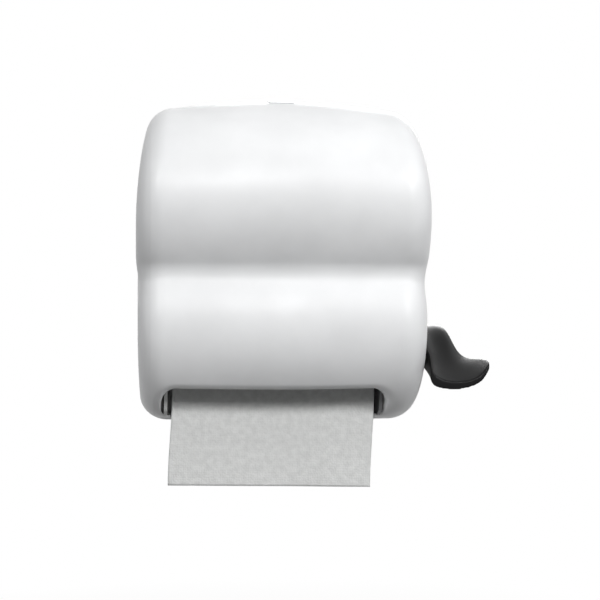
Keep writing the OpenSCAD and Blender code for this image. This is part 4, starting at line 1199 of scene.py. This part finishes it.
@dataclass
class TowelSupply(Assembly):
    """The roll, and the one sheet that runs from it past the guide bar and out of the slot."""

    gap: float = 0.5
    thick: float = 0.35
    bottom_drop: float = 0.9
    lean: float = 4.5
    tilt: float = 3.3
    curl: float = 1.6
    wave: float = 7.3
    ripple: float = 15.1
    wrap_deg: float = 30.0
    wide_steps: int = 96
    step: float = 2.2

    def __post_init__(self) -> None:
        """Take the roll, the guide bar and the hanging sheet from the CAD frame."""
        low, high = box_mm("towel_roll")
        self.roll = (low[1:] + high[1:]) / 2
        self.roll_r = (high[1] - low[1]) / 2
        self.x0, self.x1 = low[0], high[0]
        low, high = box_mm("guide_bar")
        self.guide, self.guide_r = (low[1:] + high[1:]) / 2, (high[2] - low[2]) / 2
        low, high = box_mm("towel_tail")
        self.sheet_y, self.tail_z = (low[1] + high[1]) / 2, low[2] - self.bottom_drop
        self.core_r = half_size("towel_core", 1)
        self.slot_z = box_mm("tear_bar")[0][2]

    def path(self) -> np.ndarray:
        """Return the sheet's side view, evenly stepped, from the roll to its free end."""
        web_r, bar_r = self.roll_r + self.gap, self.guide_r + self.gap
        d = self.guide - self.roll
        heading = math.degrees(math.atan2(d[1], d[0])) % 360
        leave = heading - math.degrees(math.acos((web_r + bar_r) / float(np.linalg.norm(d))))
        points = [self.roll + web_r * np.array([math.cos(a), math.sin(a)])
                  for a in np.radians(np.linspace(leave - self.wrap_deg, leave, 24))]
        points += [self.guide + bar_r * np.array([math.cos(a), math.sin(a)])
                   for a in np.radians(np.linspace(leave - 180, 0, 8))]
        points.append(np.array([self.sheet_y, self.tail_z]))
        route = np.array(points)
        run = np.concatenate([[0], np.cumsum(np.linalg.norm(np.diff(route, axis=0), axis=1))])
        self.length = float(run[-1])
        even = np.linspace(0, self.length, int(self.length / self.step) + 1)
        return np.stack([np.interp(even, run, route[:, 0]), np.interp(even, run, route[:, 1])], -1)

    def sheet(self) -> bpy.types.Object:
        """Build the sheet as a grid with its real metres as its UV map."""
        route = self.path()
        wide = self.wide_steps + 1
        points, where = [], []
        run = np.linspace(0, self.length, len(route))
        for k, (y, z) in enumerate(route):
            free = float(smoothstep((self.slot_z - z) / (self.slot_z - self.tail_z)))
            for i in range(wide):
                f = i / self.wide_steps
                x = self.x0 + (self.x1 - self.x0) * f
                swell = math.sin(f * self.wave + 0.6) + 0.5 * math.sin(f * self.ripple + z * 0.02)
                points.append((x - self.lean * free, y - self.curl * free * (0.6 + 0.5 * swell),
                               z - self.tilt * free * (f - 0.4)))
                where.append(((x - self.x0) * MM, run[k] * MM))
        faces = [(k * wide + i, k * wide + i + 1, (k + 1) * wide + i + 1, (k + 1) * wide + i)
                 for k in range(len(route) - 1) for i in range(self.wide_steps)]
        obj = mesh_object("towel_sheet", points, faces)
        uv = obj.data.uv_layers.new(name="UVMap")
        for loop in obj.data.loops:
            uv.data[loop.index].uv = where[loop.vertex_index]
        return obj

    def winding(self) -> bpy.types.Object:
        """Build the roll with soft edges and the shallow steps of its turns at both ends."""
        r, c = self.roll_r, self.core_r
        edge = [(0.0, 0.0), (0.35, 0.5), (0.1, 1.2)]
        rings = np.linspace(c, r - 1.6, 26)
        left = [(self.x0 + edge[k % 3][0], q) for k, q in enumerate(rings)]
        right = [(self.x1 - edge[(k + 1) % 3][0], q) for k, q in enumerate(rings[::-1])]
        bevel = [(self.x0 + 0.5, r - 0.5), (self.x0 + 1.6, r),
                 (self.x1 - 1.6, r), (self.x1 - 0.5, r - 0.5)]
        return lathe_x("towel_winding", self.roll, left + bevel + right, 144)

    def build(self, palette: Palette) -> list[Piece]:
        roll = self.winding()
        roll.data.materials.append(palette.wound)
        sheet = self.sheet()
        sheet.data.materials.append(palette["towel_paper"])
        skin = sheet.modifiers.new("Thickness", "SOLIDIFY")
        skin.thickness, skin.offset = self.thick * MM, 0.0
        apply_modifiers(sheet)
        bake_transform(sheet)
        return [Piece(roll, "towel_roll", "towel_paper", ("towel_roll",)),
                Piece(sheet, "", "towel_paper", ("towel_web", "towel_tail"))]


# ---- what repeats ----


@dataclass
class Fasteners(Assembly):
    """Pan-head screws with a cross recess, at the places of the CAD screws."""

    head_r: float = 3.8
    head_h: float = 2.4
    shank_r: float = 2.0
    recess_w: float = 1.0
    recess_l: float = 4.4
    recess_d: float = 1.3
    pitch: float = 0.8
    sides: int = 14

    def shape(self) -> NodeShape:
        """Build the tree of one screw, with its Z out of the head."""
        s = NodeShape("screw", {"Head Radius": self.head_r * MM, "Head Height": self.head_h * MM,
                                "Recess Width": self.recess_w * MM,
                                "Recess Length": self.recess_l * MM,
                                "Recess Depth": self.recess_d * MM})
        ball = s.add("GeometryNodeMeshUVSphere", {"Segments": 32, "Rings": 16},
                     {"Radius": s.size("Head Radius")})
        squash = s.add("ShaderNodeMath", {"operation": "DIVIDE"},
                       {0: s.size("Head Height"), 1: s.size("Head Radius")})
        one = s.add("ShaderNodeValue")
        one.outputs[0].default_value = 1.0
        dome = s.add("GeometryNodeTransform", None,
                     {"Geometry": ball.outputs["Mesh"],
                      "Scale": s.vector(X=one.outputs[0], Y=one.outputs[0], Z=squash.outputs[0])})
        wide = s.scaled("Head Radius", 3.0)
        below = s.add("GeometryNodeMeshCube", None,
                      {"Size": s.vector(X=wide, Y=wide, Z=wide)})
        drop = s.add("GeometryNodeTransform", None,
                     {"Geometry": below.outputs["Mesh"],
                      "Translation": s.vector(Z=s.scaled("Head Radius", -1.5))})
        tall = s.scaled("Recess Depth", 2.0)
        bars = [s.add("GeometryNodeMeshCube", None, {"Size": s.vector(X=x, Y=y, Z=tall)})
                for x, y in ((s.size("Recess Width"), s.size("Recess Length")),
                             (s.size("Recess Length"), s.size("Recess Width")))]
        raised = [s.add("GeometryNodeTransform", None,
                        {"Geometry": bar.outputs["Mesh"],
                         "Translation": s.vector(Z=s.size("Head Height"))}) for bar in bars]
        head = dome.outputs["Geometry"]
        for tool in (drop, *raised):
            head = s.add("GeometryNodeMeshBoolean", {"operation": "DIFFERENCE"},
                         {"Mesh 1": head, "Mesh 2": tool.outputs["Geometry"]}).outputs["Mesh"]
        s.close(s.at_points(head))
        return s

    def build(self, palette: Palette) -> list[Piece]:
        """Build one set of screws for each CAD node of screws."""
        screw, made = self.shape(), []
        for node, side in (("frame_screws", (0, -1, 0)), ("case_screws", (1, 0, 0)),
                           ("tear_bar_screws", None)):
            seats, axes = [], []
            for low, high in islands(node):
                middle = (low + high) / 2
                axis = np.array(side if side else (-np.sign(middle[0]), 0, 0), float)
                end = np.where(axis > 0, high, np.where(axis < 0, low, middle))
                seats.append(end - axis * self.head_h)
                axes.append(axis)
            heads = screw.bake(node.replace("screws", "screw_heads"), seats, axes, palette["steel"])
            self.shanks(heads, node, seats, axes, palette)
            made.append(Piece(heads, "cabinet", "steel", (node,)))
        return made

    def shanks(self, heads: bpy.types.Object, node: str, seats: Sequence[np.ndarray],
               axes: Sequence[np.ndarray], palette: Palette) -> None:
        """Add the threaded part of each screw to its head.

        Args:
            heads: The object of the heads, which takes the shanks in.
            node: The CAD node of the screws.
            seats: The underside of each head.
            axes: The direction out of each head.
            palette: Not used.
        """
        body = bmesh.new()
        body.from_mesh(heads.data)
        for (low, high), seat, axis in zip(islands(node), seats, axes):
            far = np.where(axis > 0, low, np.where(axis < 0, high, (low + high) / 2))
            length = float(abs((seat - far) @ axis))
            rings = []
            across = np.array([0.0, 0.0, 1.0])
            other = np.cross(axis, across)
            turns = max(2, int(length / self.pitch))
            for k in range(turns * 2 + 1):
                r = self.shank_r * (1.0 if k % 2 else 0.86) * (0.6 if k == turns * 2 else 1.0)
                centre = seat + axis * 0.05 - axis * (length * k / (turns * 2))
                ways = [math.cos(a) * across + math.sin(a) * other
                        for a in np.linspace(0, 2 * math.pi, self.sides + 1)[:-1]]
                rings.append([body.verts.new((centre + r * way) * MM) for way in ways])
            for a, b in zip(rings, rings[1:]):
                for i in range(self.sides):
                    j = (i + 1) % self.sides
                    body.faces.new((a[i], b[i], b[j], a[j])).smooth = True
            body.faces.new(rings[0])
            body.faces.new(reversed(rings[-1]))
        bmesh.ops.recalc_face_normals(body, faces=body.faces)
        body.to_mesh(heads.data)
        body.free()


@dataclass
class Springs(Assembly):
    """The wound springs: of the lever, of the pinch bracket and of the roll arm."""

    turns: float = 5.0
    sides: int = 10
    steps: int = 40

    def coil(
        self, name: str, node: str, axis: int, wire: float, body: str, palette: Palette
    ) -> Piece:
        """Wind the springs of one CAD node.

        Args:
            name: The new piece's name.
            node: The CAD node of the springs.
            axis: 0, 1 or 2 for a spring along X, Y or Z.
            wire: The radius of the wire.
            body: The body that the springs ride on.
            palette: The materials by slot.

        Returns:
            The springs as one piece.
        """
        places = islands(node)
        low, high = places[0]
        cross = 0 if axis else 1
        radius, length = (high[cross] - low[cross]) / 2 - wire, high[axis] - low[axis]
        s = NodeShape(name + "_tree", {"Coil Radius": radius * MM, "Wire Radius": wire * MM,
                                       "Height": (length - 2 * wire) * MM, "Turns": self.turns,
                                       "Steps": self.steps, "Sides": self.sides})
        line = s.add("GeometryNodeCurveSpiral", None,
                     {"Resolution": s.size("Steps"), "Rotations": s.size("Turns"),
                      "Start Radius": s.size("Coil Radius"), "End Radius": s.size("Coil Radius"),
                      "Height": s.size("Height")})
        ring = s.add("GeometryNodeCurvePrimitiveCircle", None,
                     {"Resolution": s.size("Sides"), "Radius": s.size("Wire Radius")})
        tube = s.add("GeometryNodeCurveToMesh", {"Fill Caps": True},
                     {"Curve": line.outputs["Curve"], "Profile Curve": ring.outputs["Curve"]})
        s.close(s.at_points(tube.outputs["Mesh"]))
        way = np.eye(3)[axis]
        feet = [(lo + hi) / 2 - way * ((length - 2 * wire) / 2) for lo, hi in places]
        obj = s.bake(name, feet, [way] * len(places), palette["spring_steel"], 80)
        return Piece(obj, body, "spring_steel", (node,))

    def build(self, palette: Palette) -> list[Piece]:
        """Wind all springs, and give the pinch springs a mesh of their own."""
        lever = self.coil("lever_return_spring", "lever_spring", 0, 1.0, "cabinet", palette)
        arm = self.coil("arm_return_spring", "arm_spring", 2, 0.7, "roll_arm_right", palette)
        pinch = self.coil("pinch_pressure_springs", "pinch_springs", 1, 0.6, "cabinet", palette)
        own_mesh(pinch.obj)
        return [lever, arm, pinch]


@dataclass
class GripRings(Assembly):
    """The rubber rings of the feed roller, with the shallow ribs that grip the towel."""

    ribs: int = 48
    rib_h: float = 0.7
    rib_w: float = 1.6
    drum_gap: float = 0.02

    def build(self, palette: Palette) -> list[Piece]:
        """Build all rings with one tree."""
        places = islands("feed_rings")
        low, high = places[0]
        width, outer = high[0] - low[0], (high[2] - low[2]) / 2
        inner = half_size("feed_drum", 2) + self.drum_gap
        s = NodeShape("grip_ring", {"Outer Radius": outer * MM, "Inner Radius": inner * MM,
                                    "Width": width * MM, "Rib Height": self.rib_h * MM,
                                    "Rib Width": self.rib_w * MM, "Ribs": self.ribs})
        base_r = s.add("ShaderNodeMath", {"operation": "SUBTRACT"},
                       {0: s.size("Outer Radius"), 1: s.size("Rib Height")})
        sleeve = s.add("GeometryNodeMeshCylinder", {"Vertices": 96},
                       {"Radius": base_r.outputs[0], "Depth": s.size("Width")})
        tall = s.scaled("Width", 1.5)
        bore = s.add("GeometryNodeMeshCylinder", {"Vertices": 96},
                     {"Radius": s.size("Inner Radius"), "Depth": tall})
        tube = s.add("GeometryNodeMeshBoolean", {"operation": "DIFFERENCE"},
                     {"Mesh 1": sleeve.outputs["Mesh"], "Mesh 2": bore.outputs["Mesh"]})
        mid_r = s.add("ShaderNodeMath", {"operation": "SUBTRACT"},
                      {0: s.size("Outer Radius"), 1: s.scaled("Rib Height", 0.85)})
        circle = s.add("GeometryNodeCurvePrimitiveCircle", None,
                       {"Resolution": s.size("Ribs"), "Radius": mid_r.outputs[0]})
        bar = s.add("GeometryNodeMeshCylinder", {"Vertices": 10},
                    {"Radius": s.scaled("Rib Width", 0.5), "Depth": s.size("Width")})
        low_bar = s.add("GeometryNodeTransform", {"Scale": (0.74, 1.0, 1.0)},
                        {"Geometry": bar.outputs["Mesh"]})
        tangent = s.add("GeometryNodeInputTangent")
        side = s.add("ShaderNodeVectorMath", {"operation": "CROSS_PRODUCT", 1: (0.0, 0.0, 1.0)},
                     {0: tangent.outputs[0]})
        turn = s.add("FunctionNodeAlignRotationToVector", {"axis": "X", "pivot_axis": "Z"},
                     {"Vector": side.outputs[0]})
        ribs = s.add("GeometryNodeInstanceOnPoints", None,
                     {"Points": circle.outputs["Curve"], "Instance": low_bar.outputs["Geometry"],
                      "Rotation": turn.outputs["Rotation"]})
        both = s.add("GeometryNodeJoinGeometry")
        for part in (tube.outputs["Mesh"], ribs.outputs["Instances"]):
            s.tree.links.new(part, both.inputs["Geometry"])
        s.close(s.at_points(both.outputs["Geometry"]))
        middles = [(lo + hi) / 2 for lo, hi in places]
        obj = s.bake("ribbed_grip_rings", middles, [(1, 0, 0)] * len(places),
                     palette["rubber_grey"])
        return [Piece(obj, "feed_roller", "rubber_grey", ("feed_rings",))]


# ---- studio ----


@dataclass
class SoftBox:
    """One plain area lamp."""

    name: str
    place: tuple[float, float, float]
    aim: tuple[float, float, float]
    size: float
    watts: float

    def build(self) -> None:
        """Hang the lamp and turn it to what it lights."""
        lamp = bpy.data.lights.new(self.name, "AREA")
        lamp.shape, lamp.size, lamp.energy = "SQUARE", self.size, self.watts
        obj = bpy.data.objects.new(self.name, lamp)
        bpy.context.scene.collection.objects.link(obj)
        way = Vector(self.aim) - Vector(self.place)
        obj.location, obj.rotation_euler = self.place, way.to_track_quat("-Z", "Y").to_euler()


@dataclass
class Studio:
    """The camera at the photograph's angle, soft lamps, a pale floor and a white surround."""

    eye: tuple[float, float, float] = (-0.1417, -1.8, -0.075)
    yaw_deg: float = 5.56
    pitch_deg: float = 1.29
    lens: float = 96.2
    floor_z: float = -0.46
    floor_half: float = 4.0
    fade_m: float = 0.75
    floor_paint: str = "#F4F4F4"
    floor_bounce: str = "#6E6E6E"
    ambient_top: float = 0.19
    ambient_low: float = 0.16
    lamps: tuple[SoftBox, ...] = (
        SoftBox("left_softbox", (-1.24, -1.92, 1.05), (0.0, -0.15, 0.0), 0.35, 13.0),
        SoftBox("front_softbox", (0.00, -2.34, 0.98), (0.0, -0.15, 0.0), 0.35, 13.5),
        SoftBox("key_softbox", (1.24, -1.92, 1.05), (0.0, -0.15, 0.0), 0.35, 21.5),
        SoftBox("right_softbox", (1.98, -0.79, 1.20), (0.0, -0.15, 0.0), 0.50, 8.5),
        SoftBox("top_softbox", (0.29, -1.24, 2.12), (0.0, -0.15, 0.0), 0.80, 4.5),
        SoftBox("back_softbox", (0.50, 2.10, 0.90), (0.0, 0.0, 0.0), 1.00, 22.0))

    def camera(self) -> None:
        """Set the camera where the photograph was taken from."""
        data = bpy.data.cameras.new("photo_camera")
        data.lens, data.sensor_width = self.lens, 36.0
        obj = bpy.data.objects.new("photo_camera", data)
        bpy.context.scene.collection.objects.link(obj)
        yaw, pitch = math.radians(self.yaw_deg), math.radians(self.pitch_deg)
        way = Vector((math.sin(yaw) * math.cos(pitch), math.cos(yaw) * math.cos(pitch),
                      math.sin(pitch)))
        obj.location, obj.rotation_euler = self.eye, way.to_track_quat("-Z", "Y").to_euler()
        bpy.context.scene.camera = obj

    @staticmethod
    def seen(tree: bpy.types.NodeTree) -> bpy.types.NodeSocket:
        """Return 1 for what the camera, a reflection or glass shows, and 0 for what gives light."""
        path = add_node(tree, "ShaderNodeLightPath")
        either = add_node(tree, "ShaderNodeMath", {"operation": "MAXIMUM"},
                          {0: path.outputs["Is Camera Ray"], 1: path.outputs["Is Glossy Ray"]})
        return add_node(tree, "ShaderNodeMath", {"operation": "MAXIMUM"},
                        {0: either.outputs[0], 1: path.outputs["Is Transmission Ray"]}).outputs[0]

    def surround(self) -> None:
        """Make the world white to the eye and a soft light from above."""
        world = bpy.data.worlds.new("white_surround")
        bpy.context.scene.world = world
        world.use_nodes = True
        tree = world.node_tree
        tree.nodes.clear()
        coords = add_node(tree, "ShaderNodeTexCoord")
        split = add_node(tree, "ShaderNodeSeparateXYZ", None, {0: coords.outputs["Generated"]})
        rise = add_node(tree, "ShaderNodeMapRange",
                        {"From Min": -0.6, "From Max": 0.8, "To Min": self.ambient_low,
                         "To Max": self.ambient_top}, {"Value": split.outputs["Z"]})
        light = add_node(tree, "ShaderNodeBackground", {"Color": (1, 1, 1, 1)},
                         {"Strength": rise.outputs["Result"]})
        white = add_node(tree, "ShaderNodeBackground", {"Color": (1, 1, 1, 1), "Strength": 1.0})
        mix = add_node(tree, "ShaderNodeMixShader", None,
                       {0: self.seen(tree), 1: light.outputs[0], 2: white.outputs[0]})
        add_node(tree, "ShaderNodeOutputWorld", None, {"Surface": mix.outputs[0]})

    def floor(self) -> None:
        """Lay a pale floor that keeps the shadow below the object and fades to white."""
        h, z = self.floor_half / MM, self.floor_z / MM
        corners = [(-h, -h, z), (h, -h, z), (h, h, z), (-h, h, z)]
        obj = mesh_object("pale_floor", corners, [(0, 1, 2, 3)])
        material = bpy.data.materials.new("pale_studio_floor")
        material.use_nodes = True
        tree = material.node_tree
        tree.nodes.clear()
        coords = add_node(tree, "ShaderNodeTexCoord")
        flat = add_node(tree, "ShaderNodeMapping", {"Scale": (1.0, 1.0, 0.0)},
                        {"Vector": coords.outputs["Object"]})
        away = add_node(tree, "ShaderNodeVectorMath", {"operation": "LENGTH"},
                        {0: flat.outputs["Vector"]})
        fade = add_node(tree, "ShaderNodeMapRange",
                        {"From Min": 0.2, "From Max": self.fade_m, "To Min": 0.8, "To Max": 1.0},
                        {"Value": away.outputs["Value"]})
        share = add_node(tree, "ShaderNodeMath", {"operation": "MULTIPLY"},
                         {0: fade.outputs["Result"], 1: self.seen(tree)})
        tint = add_node(tree, "ShaderNodeMix",
                        {"data_type": "RGBA", 6: linear(self.floor_bounce),
                         7: linear(self.floor_paint)}, {0: self.seen(tree)})
        paint = add_node(tree, "ShaderNodeBsdfDiffuse", None, {"Color": tint.outputs[2]})
        glow = add_node(tree, "ShaderNodeEmission", {"Color": (1, 1, 1, 1), "Strength": 1.0})
        mix = add_node(tree, "ShaderNodeMixShader", None,
                       {0: share.outputs[0], 1: paint.outputs[0], 2: glow.outputs[0]})
        under = add_node(tree, "ShaderNodeNewGeometry")
        clear = add_node(tree, "ShaderNodeBsdfTransparent")
        above = add_node(tree, "ShaderNodeMixShader", None,
                         {0: under.outputs["Backfacing"], 1: mix.outputs[0], 2: clear.outputs[0]})
        add_node(tree, "ShaderNodeOutputMaterial", None, {"Surface": above.outputs[0]})
        obj.data.materials.append(material)

    def build(self) -> None:
        """Set up the whole studio."""
        bpy.context.scene.view_settings.view_transform = "Standard"
        self.camera()
        self.surround()
        self.floor()
        for lamp in self.lamps:
            lamp.build()


def dress_frame(palette: Palette) -> None:
    """Give every CAD node the finish of its record slot.

    Args:
        palette: The materials by slot.
    """
    for row in frame["record"]["subparts"]:
        obj = frame["nodes"][row["node"]]
        paint(obj, palette[row["material_slot"]])


def main() -> None:
    """Build the studio, the finishes and each sub-assembly."""
    logging.basicConfig(level=logging.INFO, format="%(name)s: %(message)s")
    Studio().build()
    palette = Palette()
    dress_frame(palette)
    makers: tuple[Callable[[], Assembly], ...] = (
        CoverShell, LeverPaddle, TowelSupply, GripRings, Fasteners, Springs)
    for maker in makers:
        for piece in maker().build(palette):
            piece.settle()


if __name__ == "__main__":
    main()
